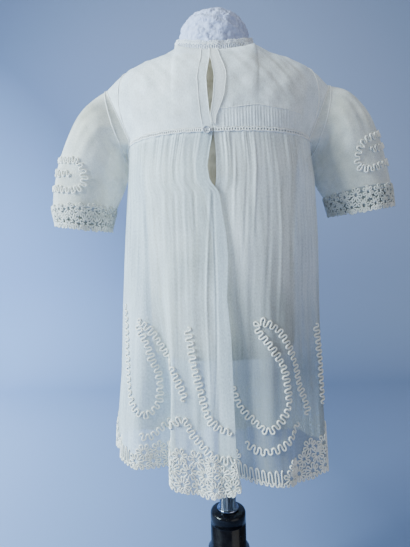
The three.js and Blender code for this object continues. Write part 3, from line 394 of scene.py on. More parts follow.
def tuck_reach(panel, azimuth, start, z):
    if panel != "back_right":
        return 0
    return -TUCK_DEPTH * drop_share(z, TUCK_START_Z, TUCK_FULL_Z) * hump((azimuth - start) / TUCK_SPREAD)


def panel_point(panel, share, z):
    start, end = panel_ends(panel, z)
    azimuth = mix(start, end, share)
    reach = fold_reach(panel, azimuth, z) + crease_reach(panel, azimuth, z) - SHEET_DEPTH
    reach = reach + gather_reach(panel, share, azimuth, z) + tuck_reach(panel, azimuth, start, z)
    return body_point(azimuth, z) + reach[..., None] * outward_at(azimuth)


def skirt_grid(panel):
    """Its levels are found in rounds, because a panel's ends depend on them."""
    columns = GATHERS[panel] * SKIRT_COLUMNS_PER_GATHER + 1
    share, up = np.broadcast_arrays(np.linspace(0, 1, columns)[None, :],
                                    np.linspace(0, 1, SKIRT_ROWS)[:, None])
    z = np.full(share.shape, SKIRT_MIDDLE_Z)
    for _ in range(LEVEL_ROUNDS):
        azimuth = mix(*panel_ends(panel, z), share)
        z = mix(hem_value(azimuth, "z"), skirt_top_z(azimuth), up)
    return panel_point(panel, share, z)


def yoke_top(along, direction, side, start_x):
    start_turn = math.degrees(math.asin(direction * (start_x - NECK_SHIFT_X) / NECK_HALF_WIDTH))
    turn = mix(start_turn, 90, np.minimum(along / NECK_SHARE, 1))
    low = NECK_BACK_Z if side > 0 else NECK_FRONT_Z
    neck_z = mix(NECK_SIDE_Z, low, np.abs(cosine(turn)) ** NECK_CURVE)
    neck_x = NECK_SHIFT_X + direction * NECK_HALF_WIDTH * sine(turn)
    neck_y = -side * (NECK_HALF_DEPTH * cosine(turn) + SEAM_GAP / 2)
    reach = mix(NECK_HALF_WIDTH + direction * NECK_SHIFT_X, SHOULDER_END_X,
                np.clip((along - NECK_SHARE) / (1 - NECK_SHARE), 0, 1))
    shoulder_z = np.interp(reach, SHOULDER_LINE["x"], SHOULDER_LINE["z"])
    on_neck = along <= NECK_SHARE
    x = np.where(on_neck, neck_x, direction * reach)
    y = np.where(on_neck, neck_y, -side * SEAM_GAP / 2)
    z = np.where(on_neck, neck_z, shoulder_z)
    return np.stack([x, y, z], -1)


def yoke_point(along, down, direction, side, start):
    top = yoke_top(along, direction, side, start["top"])
    seam_z = SEAM_Z + BEADING_HEIGHT / 2 + SEAM_GAP
    azimuth = mix(direction * azimuth_at_x(start["seam"], seam_z), SEAM_END_AZIMUTH, along)
    round_it = direction * azimuth if side > 0 else 180 - direction * azimuth
    seam = body_point(round_it, seam_z)
    c, s = cosine(90 * down), sine(90 * down)
    return np.stack([
        mix(seam[..., 0], top[..., 0], c),
        mix(top[..., 1], seam[..., 1], s),
        mix(seam[..., 2], top[..., 2], c),
    ], -1)


def yoke_start(direction):
    edge = "left" if direction < 0 else "right"
    return {"top": SLIT[edge][-1], "seam": SLIT[edge][0]}


FRONT_START = {"top": NECK_SHIFT_X, "seam": 0}


def yoke_shares(columns):
    return np.broadcast_arrays(np.linspace(0, 1, columns)[None, :], np.linspace(1, 0, YOKE_ROWS)[:, None])


def back_yoke_grid(direction, columns):
    along, down = yoke_shares(columns)
    grid = yoke_point(along, down, direction, 1, yoke_start(direction))
    edge = grid[:, :1, :]
    target = look_up(SLIT, "z", edge[..., 2], "left" if direction < 0 else "right")
    grid[..., 0] += (target - edge[..., 0]) * (1 - along) ** 2
    return grid[:, ::-1] if direction < 0 else grid


def front_yoke_grid(columns):
    right, left = (yoke_point(*yoke_shares(columns), direction, -1, FRONT_START) for direction in (1, -1))
    return np.concatenate([right[:, ::-1], left[:, 1:]], axis=1)


def armhole_ring(direction, turns):
    points = []
    for turn in turns:
        from_top = 360 - turn if turn > 180 else turn
        side = -1 if turn > 180 else 1
        share = from_top / ARMHOLE_YOKE_TURN
        if share <= 1:
            point = yoke_point(np.array(1.0), np.array(share), direction, side, FRONT_START)
            point[0] += direction * 2 * SEAM_GAP
        else:
            share = (from_top - ARMHOLE_YOKE_TURN) / (180 - ARMHOLE_YOKE_TURN)
            from_back = mix(SEAM_END_AZIMUTH, 90, share)
            azimuth = direction * (from_back if side > 0 else 180 - from_back)
            point = body_point(np.array(azimuth), np.array(mix(SEAM_Z, ARMPIT_Z + 3 * SEAM_GAP, share)))
            point[0] += direction * mix(2 * SEAM_GAP, ARMPIT_EASE, share)
        points.append(point)
    return np.array(points)


def sleeve_ring(direction, table, row, turns):
    value = {column: table[column][row] for column in table}
    outwards = (1 + cosine(turns)) / 2
    x, z = (mix(value["inner_" + axis], value["outer_" + axis], outwards) for axis in "xz")
    return np.stack([direction * x, -value["depth"] * sine(turns), z], -1)


def curve_point(p0, p1, p2, p3, f):
    """The share f of the way from p1 to p2, on a smooth curve through all four."""
    return 0.5 * (2 * p1 + (p2 - p0) * f + (2 * p0 - 5 * p1 + 4 * p2 - p3) * f ** 2
                  + (3 * p1 - p0 - 3 * p2 + p3) * f ** 3)


def smooth_rows(rings, count):
    """Rows between rings, on a curve through them."""
    last = len(rings) - 1
    made = []
    for t in np.linspace(0, last, count):
        i = min(int(t), last - 1)
        four = (rings[max(i - 1, 0)], rings[i], rings[i + 1], rings[min(i + 2, last)])
        made.append(curve_point(*four, t - i))
    return np.array(made)


def sleeve_grid(direction, table, turns):
    rings = [armhole_ring(direction, turns)]
    rings += [sleeve_ring(direction, table, row, turns) for row in range(len(table["depth"]) - 1)]
    grid = smooth_rows(np.array(rings), SLEEVE_ROWS)
    down = np.linspace(0, 1, SLEEVE_ROWS)[:, None]
    outside = np.maximum(0, cosine(turns / 2))[None, :]
    wander = turns[None, :] + 9 * np.sin(5 * down + direction)
    puff = np.sin(math.pi * np.clip(down * 1.25, 0, 1)) * outside
    crease = 0.8 * cosine(wander * SLEEVE_CREASES) + 0.5 * cosine(wander * 19 + 40) * (1 - down)
    grid[..., 0] += direction * crease * puff * cosine(turns)[None, :]
    grid[..., 1] -= crease * puff * sine(turns)[None, :]
    return grid


def cuff_grid(direction, table, turns):
    top, bottom = (sleeve_ring(direction, table, row, turns) for row in (-2, -1))
    bottom[:, 2] -= CUFF_LEAN * sine(turns) + CUFF_DROP
    top[:, 2] -= 2 * SEAM_GAP
    return mix(top[None], bottom[None], np.linspace(0, 1, CUFF_ROWS)[:, None, None])


# Lines and grids of points

def lengths_along(line):
    """Distance from the start at each point of a line."""
    return np.concatenate([[0], np.cumsum(np.linalg.norm(np.diff(line, axis=0), axis=1))])


def unit(vectors):
    return vectors / (np.linalg.norm(vectors, axis=-1, keepdims=True) + 1e-9)


def closed_ring(grid, closed):
    return np.concatenate([grid, grid[:, :1]], axis=1) if closed else grid


def row_length(row, closed=False):
    line = np.concatenate([row, row[:1]]) if closed else row
    return float(lengths_along(line)[-1]) * MM


def grid_faces(rows, columns, closed=False, flip=False):
    spans = columns if closed else columns - 1
    r = np.arange(rows - 1)[:, None]
    c = np.arange(spans)[None, :]
    n = (c + 1) % columns
    corners = (r * columns + c, r * columns + n, (r + 1) * columns + n, (r + 1) * columns + c)
    quads = np.stack(np.broadcast_arrays(*corners), -1).reshape(-1, 4)
    return quads[:, ::-1] if flip else quads


QUAD_CORNERS = ((0, 0), (0, 1), (1, 1), (1, 0))


def grid_uvs(grid, closed, flip):
    """Millimetres along and across the cloth, so that a weave keeps its size."""
    rows = grid.shape[0]
    ring = closed_ring(grid, closed)
    u, v = lengths_along(ring[rows // 2]), lengths_along(ring[:, 0])
    r = np.arange(rows - 1)[:, None]
    c = np.arange(ring.shape[1] - 1)[None, :]
    corners = [np.stack(np.broadcast_arrays(u[c + dc], v[r + dr]), -1) for dr, dc in QUAD_CORNERS]
    uvs = np.stack(corners, 2).reshape(-1, 4, 2)
    return uvs[:, ::-1] if flip else uvs


def tube_uvs(line, quads, sides):
    """Millimetres along the tube, and the share of the way round it."""
    along = lengths_along(line)
    r, s = quads[:, 0] // sides, quads[:, 0] % sides
    return np.stack([np.stack([along[r + dr], (s + ds) / sides], -1) for dr, ds in QUAD_CORNERS], 1)


def tube_rings(points, normals, radius, sides):
    tangent = unit(np.gradient(points, axis=0))
    up = unit(normals - (normals * tangent).sum(1, keepdims=True) * tangent)
    across = np.cross(tangent, up)
    angles = (np.arange(sides) * 2 * math.pi / sides)[None, :, None]
    return points[:, None] + radius * (up[:, None] * np.cos(angles) + across[:, None] * np.sin(angles))


# Objects. Every one but the floor rides on the part's only body.

def new_object(name, vertices, faces, material, uvs=None, stands_for=(), rides=True):
    mesh = bpy.data.meshes.new(name)
    mesh.from_pydata((np.asarray(vertices, dtype=float).reshape(-1, 3) * MM).tolist(), [], faces)
    if uvs is not None:
        layer = mesh.uv_layers.new(name="UVMap")
        layer.data.foreach_set("uv", np.asarray(uvs, dtype=np.float32).reshape(-1))
    mesh.polygons.foreach_set("use_smooth", [True] * len(mesh.polygons))
    mesh.materials.append(material)
    mesh.update()
    obj = bpy.data.objects.new(name, mesh)
    bpy.context.scene.collection.objects.link(obj)
    if rides:
        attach(obj, "root")
    if stands_for:
        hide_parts(*stands_for)
    return obj


def grid_object(name, grid, material, stands_for=(), closed=False, flip=False):
    faces = grid_faces(*grid.shape[:2], closed, flip).tolist()
    return new_object(name, grid, faces, material, grid_uvs(grid, closed, flip), stands_for)


def tube_object(name, paths, radius, material, stands_for=(), sides=6):
    """One mesh of many tubes with closed ends. A path is its points and their outward directions."""
    vertices, faces, uvs, ends = [], [], [], []
    base = 0
    for points, normals in paths:
        quads = grid_faces(len(points), sides, closed=True)
        vertices.append(tube_rings(points, normals, radius, sides).reshape(-1, 3))
        faces.append(quads[:, ::-1] + base)
        uvs.append(tube_uvs(points, quads, sides)[:, ::-1].reshape(-1, 2))
        ends.append(list(range(base, base + sides)))
        base += len(points) * sides
        ends.append(list(range(base - sides, base))[::-1])
    uvs.append(np.zeros((len(ends) * sides, 2)))
    all_faces = np.concatenate(faces).tolist() + ends
    return new_object(name, np.concatenate(vertices), all_faces, material, np.concatenate(uvs), stands_for)


def lathe_object(name, profile, material, stands_for):
    """A body turned about the upright axis, from pairs of radius and level."""
    directions = outward_at(turns_round(LATHE_SEGMENTS))
    grid = np.array([r * directions + (0, 0, z) for r, z in profile])
    return grid_object(name, grid, material, stands_for, closed=True)


class Surface:
    """A cloth surface that cords lie on, read between its grid's points."""

    def __init__(self, grid, closed=False, outward=1):
        self.grid = grid
        self.closed = closed
        self.rows, self.columns = grid.shape[:2]
        ring = np.concatenate([grid[:, -1:], grid, grid[:, :1]], axis=1) if closed else grid
        normals = np.cross(np.gradient(ring, axis=1), np.gradient(ring, axis=0))
        self.normals = outward * unit(normals[:, 1:-1] if closed else normals)

    def read(self, values, u, v):
        v = np.clip(v, 0, self.rows - 1.001)
        u = np.mod(u, self.columns) if self.closed else np.clip(u, 0, self.columns - 1.001)
        c, r = np.floor(u).astype(int), np.floor(v).astype(int)
        fu, fv = (u - c)[:, None], (v - r)[:, None]
        n = (c + 1) % self.columns if self.closed else c + 1
        low = values[r, c] * (1 - fu) + values[r, n] * fu
        high = values[r + 1, c] * (1 - fu) + values[r + 1, n] * fu
        return low * (1 - fv) + high * fv

    def points(self, u, v):
        return self.read(self.grid, u, v)

    def directions(self, u, v):
        return unit(self.read(self.normals, u, v))

    def laid(self, u, v, lift=CORD_RADIUS):
        """A path that lies on the surface."""
        normals = self.directions(u, v)
        return self.points(u, v) + lift * normals, normals


def spline(corners, step):
    """Points about a step apart on a curve through the corners."""
    corners = np.array(corners, dtype=float)
    ends = np.concatenate([[2 * corners[0] - corners[1]], corners, [2 * corners[-1] - corners[-2]]])
    made = []
    for p0, p1, p2, p3 in zip(ends, ends[1:], ends[2:], ends[3:]):
        count = max(2, int(np.linalg.norm(p2 - p1) / step))
        made.append(curve_point(p0, p1, p2, p3, np.arange(count)[:, None] / count))
    made.append(corners[-1:])
    return np.concatenate(made)


def smoothed(values, reach):
    padded = np.concatenate([np.full(reach, values[0]), values, np.full(reach, values[-1])])
    kernel = np.hanning(2 * reach + 3)[1:-1]
    return np.convolve(padded, kernel / kernel.sum(), mode="valid")


# Cord on cloth

def wave_phases(length, wavelength):
    waves = max(1, round(length / wavelength))
    return np.linspace(0, waves * 2 * math.pi, waves * POINTS_PER_WAVE + 1)


def lean(phase, wavelength):
    """How far a looped cord swings along its line, so that its bends are rounder than a wave's."""
    return LOOP_LEAN * wavelength * np.sin(2 * phase)


def meander(surface, u, v, seed):
    """A cord that swings from side to side of the line u, v on a surface."""
    along = lengths_along(surface.points(u, v))
    phase = wave_phases(along[-1], MEANDER_WAVELENGTH)
    uneven = 1 + 0.14 * np.sin(phase * 0.31 + seed) + 0.1 * np.sin(phase * 0.173 + 2 * seed)
    centre = np.interp(phase / phase[-1] * along[-1], along, np.arange(len(along)))
    uc = np.interp(centre, np.arange(len(u)), u)
    vc = np.interp(centre, np.arange(len(v)), v)
    tangent = unit(np.gradient(surface.points(uc, vc), axis=0))
    side = np.cross(surface.directions(uc, vc), tangent)
    swing = MEANDER_HALF_WIDTH * uneven * np.sin(phase)
    move = side * swing[:, None] - tangent * lean(phase, MEANDER_WAVELENGTH)[:, None]
    half = 0.5
    du = surface.points(uc + half, vc) - surface.points(uc - half, vc)
    dv = surface.points(uc, vc + half) - surface.points(uc, vc - half)
    uu, uv, vv = (du * du).sum(1), (du * dv).sum(1), (dv * dv).sum(1)
    mu, mv = (move * du).sum(1), (move * dv).sum(1)
    det = uu * vv - uv * uv + 1e-9
    return surface.laid(uc + (mu * vv - mv * uv) / det, vc + (mv * uu - mu * uv) / det)


def panel_surface(panel):
    """Rows at even levels, so that a place on it is found by its level."""
    z = np.arange(LEVEL_BOTTOM_Z, LEVEL_TOP_Z, LEVEL_STEP)[:, None]
    share = np.linspace(0, 1, GATHERS[panel] * SURFACE_COLUMNS_PER_GATHER + 1)[None, :]
    return Surface(panel_point(panel, *np.broadcast_arrays(share, z)))


def find_on_panel(surface, x, v, side):
    """Columns where the rows v have those x, on the face nearest a viewer behind (1) or in front (-1)."""
    u = []
    for k in range(len(x)):
        row = surface.grid[int(np.clip(round(v[k]), 0, surface.rows - 1))]
        gap = row[:, 0] - x[k]
        hits = np.nonzero(gap[:-1] * gap[1:] <= 0)[0]
        if len(hits) == 0:
            u.append(float(np.argmin(np.abs(gap))))
            continue
        best = min(hits, key=lambda h: side * row[h, 1])
        u.append(best + abs(gap[best]) / (abs(gap[best]) + abs(gap[best + 1]) + 1e-9))
    return np.array(u)


def route_on_panel(surface, corners, side):
    line = spline(corners, 1.0)
    v = (line[:, 1] - LEVEL_BOTTOM_Z) / LEVEL_STEP
    return smoothed(find_on_panel(surface, line[:, 0], v, side), 5), smoothed(v, 2)


# Flat places along a hem or a cuff: millimetres along it and above its edge

def rosette(s, h, radius, petals, turn):
    t = np.linspace(0, 2 * math.pi, petals * POINTS_PER_PETAL + 1)
    r = radius * (0.66 + 0.34 * np.cos(petals * t))
    angle = t + turn + PETAL_ROUNDNESS / petals * np.sin(2 * petals * t)
    return s + r * np.cos(angle), h + r * np.sin(angle)


def loop_row(start, end, height, half_width, wavelength):
    phase = wave_phases(end - start, wavelength)
    uneven = 1 + 0.12 * np.sin(phase * 0.29) + 0.1 * np.sin(phase * 0.167)
    s = start + phase / phase[-1] * (end - start) + lean(phase, wavelength)
    return s, height + half_width * uneven * np.cos(phase)


def flower_column(random, i, s, tall, radius, pitch):
    """Flowers one above another at the place s, each a little astray."""
    rise = FLOWER_RISE * radius
    made = []
    for k in range(int((tall - 0.9 * radius) / rise) + 1):
        stray = random.uniform(-1, 1, 4)
        place = s + (pitch / 2 if k % 2 else 0) + 0.5 * stray[0]
        height = min(radius - FLOWER_SINK + k * rise + 0.4 * stray[2], tall - 0.7 * radius)
        made.append(rosette(place, height, radius * (1 + 0.07 * stray[1]), 6 + (i + k) % 2, 3 * stray[3]))
    return made


def cordwork(length, height_at, radius):
    """Flowers of looped cord where the border is tall, and a row of long loops where it is low."""
    lines = []
    random = np.random.default_rng(7)
    pitch = 2 * radius + FLOWER_GAP
    count = max(1, int(length / pitch))
    low_start = None
    for i in range(count + 1):
        s = (i + 0.5) * length / count
        here = s - pitch / 2
        past_end = i == count
        if not past_end and height_at(s) < FLOWER_BORDER * radius:
            low_start = here if low_start is None else low_start
            continue
        if low_start is not None:
            middle = height_at((low_start + here) / 2) / 2 - 1
            lines.append(loop_row(low_start, here, middle, middle - 0.5, LONG_LOOP_WAVELENGTH))
            low_start = None
        if not past_end:
            lines += flower_column(random, i, s, height_at(s), radius, pitch)
    lines.append(loop_row(0, length, EDGE_LOOP_LEVEL, EDGE_LOOP_HALF_WIDTH, EDGE_LOOP_WAVELENGTH))
    return lines


def hem_cords(panel, surface):
    share = np.linspace(0.002, 0.998, HEM_SAMPLES)
    azimuth = mix(*panel_ends(panel, np.full(HEM_SAMPLES, HEM_MIDDLE_Z)), share)
    along = lengths_along(panel_point(panel, share, hem_value(azimuth, "z") + 10))
    paths = []
    border = lambda s: float(hem_value(np.interp(s, along, azimuth), "border"))
    for s, h in cordwork(along[-1], border, HEM_FLOWER_RADIUS):
        s = np.clip(s, 0.8, along[-1] - 0.8)
        level = hem_value(np.interp(s, along, azimuth), "z") + np.maximum(h, -LOOP_BELOW_HEM)
        u = np.interp(s, along, share) * (surface.columns - 1)
        paths.append(surface.laid(u, (level - LEVEL_BOTTOM_Z) / LEVEL_STEP, HEM_CORD_LIFT))
    return paths


def cuff_cords(surface):
    length = row_length(surface.grid[surface.rows // 2], closed=True) / MM
    heights = np.linalg.norm(surface.grid[0] - surface.grid[-1], axis=1)
    height = float(heights[0] + heights.min()) / 2
    last = surface.rows - 1
    paths = []
    for s, h in cordwork(length, lambda s: height + CUFF_CORD_RISE, CUFF_FLOWER_RADIUS):
        v = (1 - (h - 0.5) / height) * last
        beyond = np.maximum(v - last, 0) + np.minimum(v, 0)
        points, normals = surface.laid(s / length * surface.columns, v, CUFF_CORD_LIFT)
        points[:, 2] -= beyond * height / last
        paths.append((points, normals))
    return paths


# Materials


def node_material(name):
    material = bpy.data.materials.new(name)
    material.use_nodes = True
    return material, material.node_tree, material.node_tree.nodes["Principled BSDF"]


def set_sockets(shader, values):
    for socket, value in values.items():
        shader.inputs[socket].default_value = value


def add_node(tree, kind, **values):
    node = tree.nodes.new(kind)
    for key, value in values.items():
        if key in node.inputs:
            node.inputs[key].default_value = value
        else:
            setattr(node, key, value)
    return node


def math_node(tree, operation, *values, clamp=False):
    node = add_node(tree, "ShaderNodeMath", operation=operation, use_clamp=clamp)
    for socket, value in zip(node.inputs, values):
        if isinstance(value, (int, float)):
            socket.default_value = value
        else:
            tree.links.new(value, socket)
    return node.outputs[0]


def ramp(tree, source, stops, into=None):
    node = tree.nodes.new("ShaderNodeValToRGB")
    tree.links.new(source, node.inputs["Fac"])
    elements = node.color_ramp.elements
    while len(elements) < len(stops):
        elements.new(0.5)
    for element, (place, colour) in zip(elements, stops):
        element.position = place
        element.color = (*colour, 1)
    if into is not None:
        tree.links.new(node.outputs["Color"], into)
    return node.outputs["Color"]


def greys(low, dark, high, light):
    return (low, (dark,) * 3), (high, (light,) * 3)


def multiplied(tree, colour, tone, share):
    node = add_node(tree, "ShaderNodeMix", data_type="RGBA", blend_type="MULTIPLY")
    node.inputs[0].default_value = share
    tree.links.new(colour, node.inputs[6])
    tree.links.new(tone, node.inputs[7])
    return node.outputs[2]


def mapped(tree, source, scale=(1, 1, 1)):
    coordinates = tree.nodes.new("ShaderNodeTexCoord")
    mapping = add_node(tree, "ShaderNodeMapping", Scale=scale)
    tree.links.new(coordinates.outputs[source], mapping.inputs["Vector"])
    return mapping.outputs["Vector"]


def axes(tree, source):
    separate = tree.nodes.new("ShaderNodeSeparateXYZ")
    tree.links.new(mapped(tree, source), separate.inputs[0])
    return separate.outputs


def pattern(tree, kind, vector, output="Fac", **values):
    node = add_node(tree, kind, **values)
    tree.links.new(vector, node.inputs["Vector"])
    return node.outputs[output]


def noise_at(tree, vector, scale, detail, roughness=0.5):
    return pattern(tree, "ShaderNodeTexNoise", vector, Scale=scale, Detail=detail, Roughness=roughness)


def clouds(tree, source, scale, detail=3.0, roughness=0.5):
    return noise_at(tree, mapped(tree, source, scale), 1.0, detail, roughness)


def bump(tree, shader, height, strength, distance):
    node = add_node(tree, "ShaderNodeBump", Strength=strength, Distance=distance)
    tree.links.new(height, node.inputs["Height"])
    tree.links.new(node.outputs["Normal"], shader.inputs["Normal"])


def threads(tree):
    """Two families of threads that cross, from 0 in the gaps to 1 on a thread. UVs are millimetres."""
    x, y, _ = axes(tree, "UV")
    found = []
    for sign in (1, -1):
        across = math_node(tree, "ADD", x, math_node(tree, "MULTIPLY", y, sign * THREAD_SLANT))
        wave = math_node(tree, "SINE", math_node(tree, "MULTIPLY", across, 2 * math.pi / THREAD_PERIOD))
        found.append(math_node(tree, "POWER", math_node(tree, "ABSOLUTE", wave), 3.0))
    return math_node(tree, "MAXIMUM", *found)


def around_zero(tree, source, reach):
    return math_node(tree, "MULTIPLY", math_node(tree, "SUBTRACT", source, 0.5), reach)


def net_material(name, cover, thread_cover, dark, light, streak=(0.2, 0.012, 1), hem_shade=None):
    """Sheer net: the cover between the threads, what the threads add, and streaks along its hang.
    The last argument, if given, is how much of its lightness the net keeps towards the hem, as painted
    shade."""
    material, tree, shader = node_material(name)
    streaks = clouds(tree, "UV", streak, 4.0, 0.6)
    grain = clouds(tree, "UV", (0.75, 0.45, 1), 2.0)
    colour = ramp(tree, clouds(tree, "Object", (22, 22, 16)), ((0.3, dark), (0.7, light)))
    if hem_shade is not None:
        colour = painted_shade_below(tree, colour, hem_shade)
    tree.links.new(colour, shader.inputs["Base Color"])
    thread = threads(tree)
    alpha = math_node(tree, "MULTIPLY_ADD", thread, thread_cover, cover)
    uneven = math_node(tree, "ADD", around_zero(tree, streaks, 0.8), around_zero(tree, grain, 0.5))
    tree.links.new(math_node(tree, "ADD", alpha, uneven, clamp=True), shader.inputs["Alpha"])
    set_sockets(shader, {"Roughness": 0.8, "Sheen Weight": 0.35, "Sheen Roughness": 0.5,
                         "Specular IOR Level": 0.25})
    bump(tree, shader, math_node(tree, "ADD", thread, streaks), 0.25, 0.0004)
    return material


# Painted shade: the colour is darker low down, darkest below a set level, in place of the shade towards the
# hem.
def painted_shade_below(tree, colour, tone):
    above = math_node(tree, "SUBTRACT", axes(tree, "Object")[2], PAINTED_SHADE_TOP)
    level = math_node(tree, "MULTIPLY", above, PAINTED_SHADE_FADE, clamp=True)
    return multiplied(tree, colour, ramp(tree, level, greys(0.0, tone, 1.0, 1.0)), 1.0)


def cord_material(name, dark, light):
    """A twisted cotton cord."""
    material, tree, shader = node_material(name)
    x, y, _ = axes(tree, "UV")
    along = math_node(tree, "MULTIPLY", x, 2 * math.pi / CORD_TWIST_LENGTH)
    round_it = math_node(tree, "MULTIPLY", y, 4 * math.pi)
    twist = math_node(tree, "SINE", math_node(tree, "ADD", along, round_it))
    patches = clouds(tree, "Object", (60, 60, 60))
    ramp(tree, patches, ((0.3, dark), (0.7, light)), shader.inputs["Base Color"])
    set_sockets(shader, {"Roughness": 0.75, "Sheen Weight": 0.2, "Specular IOR Level": 0.3})
    bump(tree, shader, twist, 0.5, 0.0002)
    return material


def form_material():
    """The form's plain woven cover, a little yellowed, with darker patches at random."""
    material, tree, shader = node_material("form_cloth")
    place = mapped(tree, "Object")
    yellowed = ((0.25, (0.50, 0.42, 0.29)), (0.5, (0.63, 0.56, 0.42)), (0.8, (0.72, 0.67, 0.54)))
    colour = ramp(tree, noise_at(tree, place, 18.0, 5.0, 0.6), yellowed)
    patch_noise = clouds(tree, "Object", (60, 12, 34), 3.0, 0.6)
    darker_patches = ramp(tree, patch_noise, ((0.42, (0.42, 0.36, 0.30)), (0.58, (1.0, 1.0, 1.0))))
    tree.links.new(multiplied(tree, colour, darker_patches, 0.7), shader.inputs["Base Color"])
    set_sockets(shader, {"Roughness": 0.9})
    weave = pattern(tree, "ShaderNodeTexWave", place, Scale=420.0, Distortion=1.5, bands_direction="Z")
    bump(tree, shader, weave, 0.25, 0.0004)
    return material


def tape_material():
    """Crinkled white paper tape."""
    material, tree, shader = node_material("neck_tape")
    place = mapped(tree, "Object")
    crinkles = pattern(tree, "ShaderNodeTexVoronoi", place, "Distance", Scale=210.0,
                       feature="DISTANCE_TO_EDGE")
    strips = pattern(tree, "ShaderNodeTexWave", place, Scale=26.0, Distortion=14.0,
                     bands_direction="DIAGONAL")
    fine = noise_at(tree, place, 330.0, 5.0, 0.7)
    bluish = ((0.3, (0.38, 0.43, 0.66)), (0.7, (0.62, 0.68, 0.90)))
    ramp(tree, fine, bluish, shader.inputs["Base Color"])
    set_sockets(shader, {"Roughness": 0.65, "Specular IOR Level": 0.4})
    height = math_node(tree, "ADD", crinkles, math_node(tree, "MULTIPLY", fine, 0.5))
    bump(tree, shader, math_node(tree, "ADD", height, strips), 0.8, 0.0016)
    return material


def hard_material(name, cloud, colours, sockets, shine=None, relief=None):
    """Its colour follows clouds, and so do its roughness with shine and its height with relief."""
    material, tree, shader = node_material(name)
    source = clouds(tree, "Object", *cloud)
    ramp(tree, source, colours, shader.inputs["Base Color"])
    set_sockets(shader, sockets)
    if shine:
        ramp(tree, source, greys(*shine), shader.inputs["Roughness"])
    if relief:
        bump(tree, shader, source, *relief)
    return material


def chrome_material():
    steel = ((0.2, (0.20, 0.23, 0.30)), (0.8, (0.30, 0.33, 0.41)))
    smears = ((60, 60, 6), 4.0)
    return hard_material("chrome", smears, steel, {"Metallic": 1.0}, (0.3, 0.10, 0.7, 0.22))


def black_material():
    dusted = ((0.4, (0.003, 0.003, 0.005)), (0.9, (0.014, 0.014, 0.017)))
    dust = ((90, 90, 90), 6.0, 0.7)
    return hard_material("black_gloss", dust, dusted, {"Specular IOR Level": 0.2},
                         (0.3, 0.08, 0.8, 0.26))


def pearl_material():
    greyed = ((0.3, (0.36, 0.38, 0.42)), (0.7, (0.62, 0.63, 0.66)))
    sockets = {"Roughness": 0.22, "Coat Weight": 0.5}
    return hard_material("grey_pearl", ((500, 500, 900),), greyed, sockets, relief=(0.1, 0.0002))


# Painted light and shade: the right back panel's net is painted a little lighter than the other panels'
# net, and darker towards the hem where shade falls.
SHADED_NET = net_material("painted_shade_net", 0.57, 0.2, (0.74, 0.79, 0.78), (0.92, 0.96, 0.96), hem_shade=0.36)
NET = net_material("ivory_net", 0.47, 0.22, (0.72, 0.80, 0.80), (0.86, 0.94, 0.97))
YOKE_NET = net_material("yoke_net", 0.6, 0.2, (0.84, 0.91, 0.96), (0.93, 0.98, 1.0), (0.05, 0.035, 1))
# Painted shade: the sleeve net's darker colour is a warm grey that stands in for the shade inside the
# sleeve.
SLEEVE_SHADED_NET = net_material("sleeve_shaded_net", 0.6, 0.18, (0.60, 0.58, 0.47), (0.94, 0.95, 0.89), (0.05, 0.03, 1))
# Painted shade: the cuff's net is painted dark grey, in place of the shade between its cords.
CUFF_SHADE_NET = net_material("cuff_shade_net", 0.6, 0.15, (0.26, 0.27, 0.23), (0.42, 0.43, 0.38), (0.3, 0.3, 1))
# Painted shade: the facing's net is painted dark blue-grey, in place of the shade along the lapped edge.
FACING_SHADE_NET = net_material("facing_shade_net", 0.6, 0.12, (0.30, 0.37, 0.42), (0.42, 0.50, 0.56))
SEAM_NET = net_material("seam_net", 0.55, 0.2, (0.86, 0.87, 0.86), (0.95, 0.95, 0.94))
HEADING_NET = net_material("gathered_net", 0.55, 0.2, (0.80, 0.81, 0.80), (0.95,) * 3, (0.7, 0.02, 1))
LACE_NET = net_material("lace_net", 0.14, 0.2, (0.86, 0.88, 0.92), (0.95, 0.96, 0.98), (0.3, 0.3, 1))
CORD = cord_material("couched_cord", (0.80, 0.78, 0.68), (0.95, 0.93, 0.87))
# Painted shade: a darker copy of the couched cord, for the shade on the cuffs.
CUFF_CORD = cord_material("cuff_cord", (0.56, 0.56, 0.50), (0.80, 0.79, 0.73))
LACE = cord_material("lace_thread", (0.84, 0.86, 0.90), (0.95, 0.96, 0.98))
STITCHING = cord_material("seam_stitching", (0.84, 0.84, 0.82), (0.94, 0.94, 0.92))


# Skirt

def add_facing(grid):
    """The left panel's edge is folded under, so that the net is double there. Its net is painted dark, as
    shade along the lapped edge.
    """
    edge = slice(-LAP_FACING_COLUMNS, None)
    strip = grid[:, edge]
    piece = grid_object("lap_facing", strip - LAP_FACING_DEPTH * Surface(grid).normals[:, edge],
                        FACING_SHADE_NET)


def add_skirt():
    for panel in GATHERS:
        grid = skirt_grid(panel)
        # The right back panel takes the net with painted shade.
        net = SHADED_NET if panel == "back_right" else NET
        sheet = grid_object(f"skirt_sheet_{panel}", grid, net, [f"skirt_{panel}"])
        surface = panel_surface(panel)
        side = -1 if panel == "front" else 1
        paths = [meander(surface, *route_on_panel(surface, corners, side), seed=i + len(panel))
                 for i, corners in enumerate(ROUTES[panel])]
        motif = tube_object(f"couched_cord_{panel}", paths, CORD_RADIUS, CORD, MOTIF_NODES[panel])
        border = tube_object(f"hem_cordwork_{panel}", hem_cords(panel, surface), BORDER_CORD_RADIUS, CORD,
                             [f"hem_border_{panel}"], 5)
        if panel == "back_left":
            add_facing(grid)


# Yoke, its seams and its openwork strip

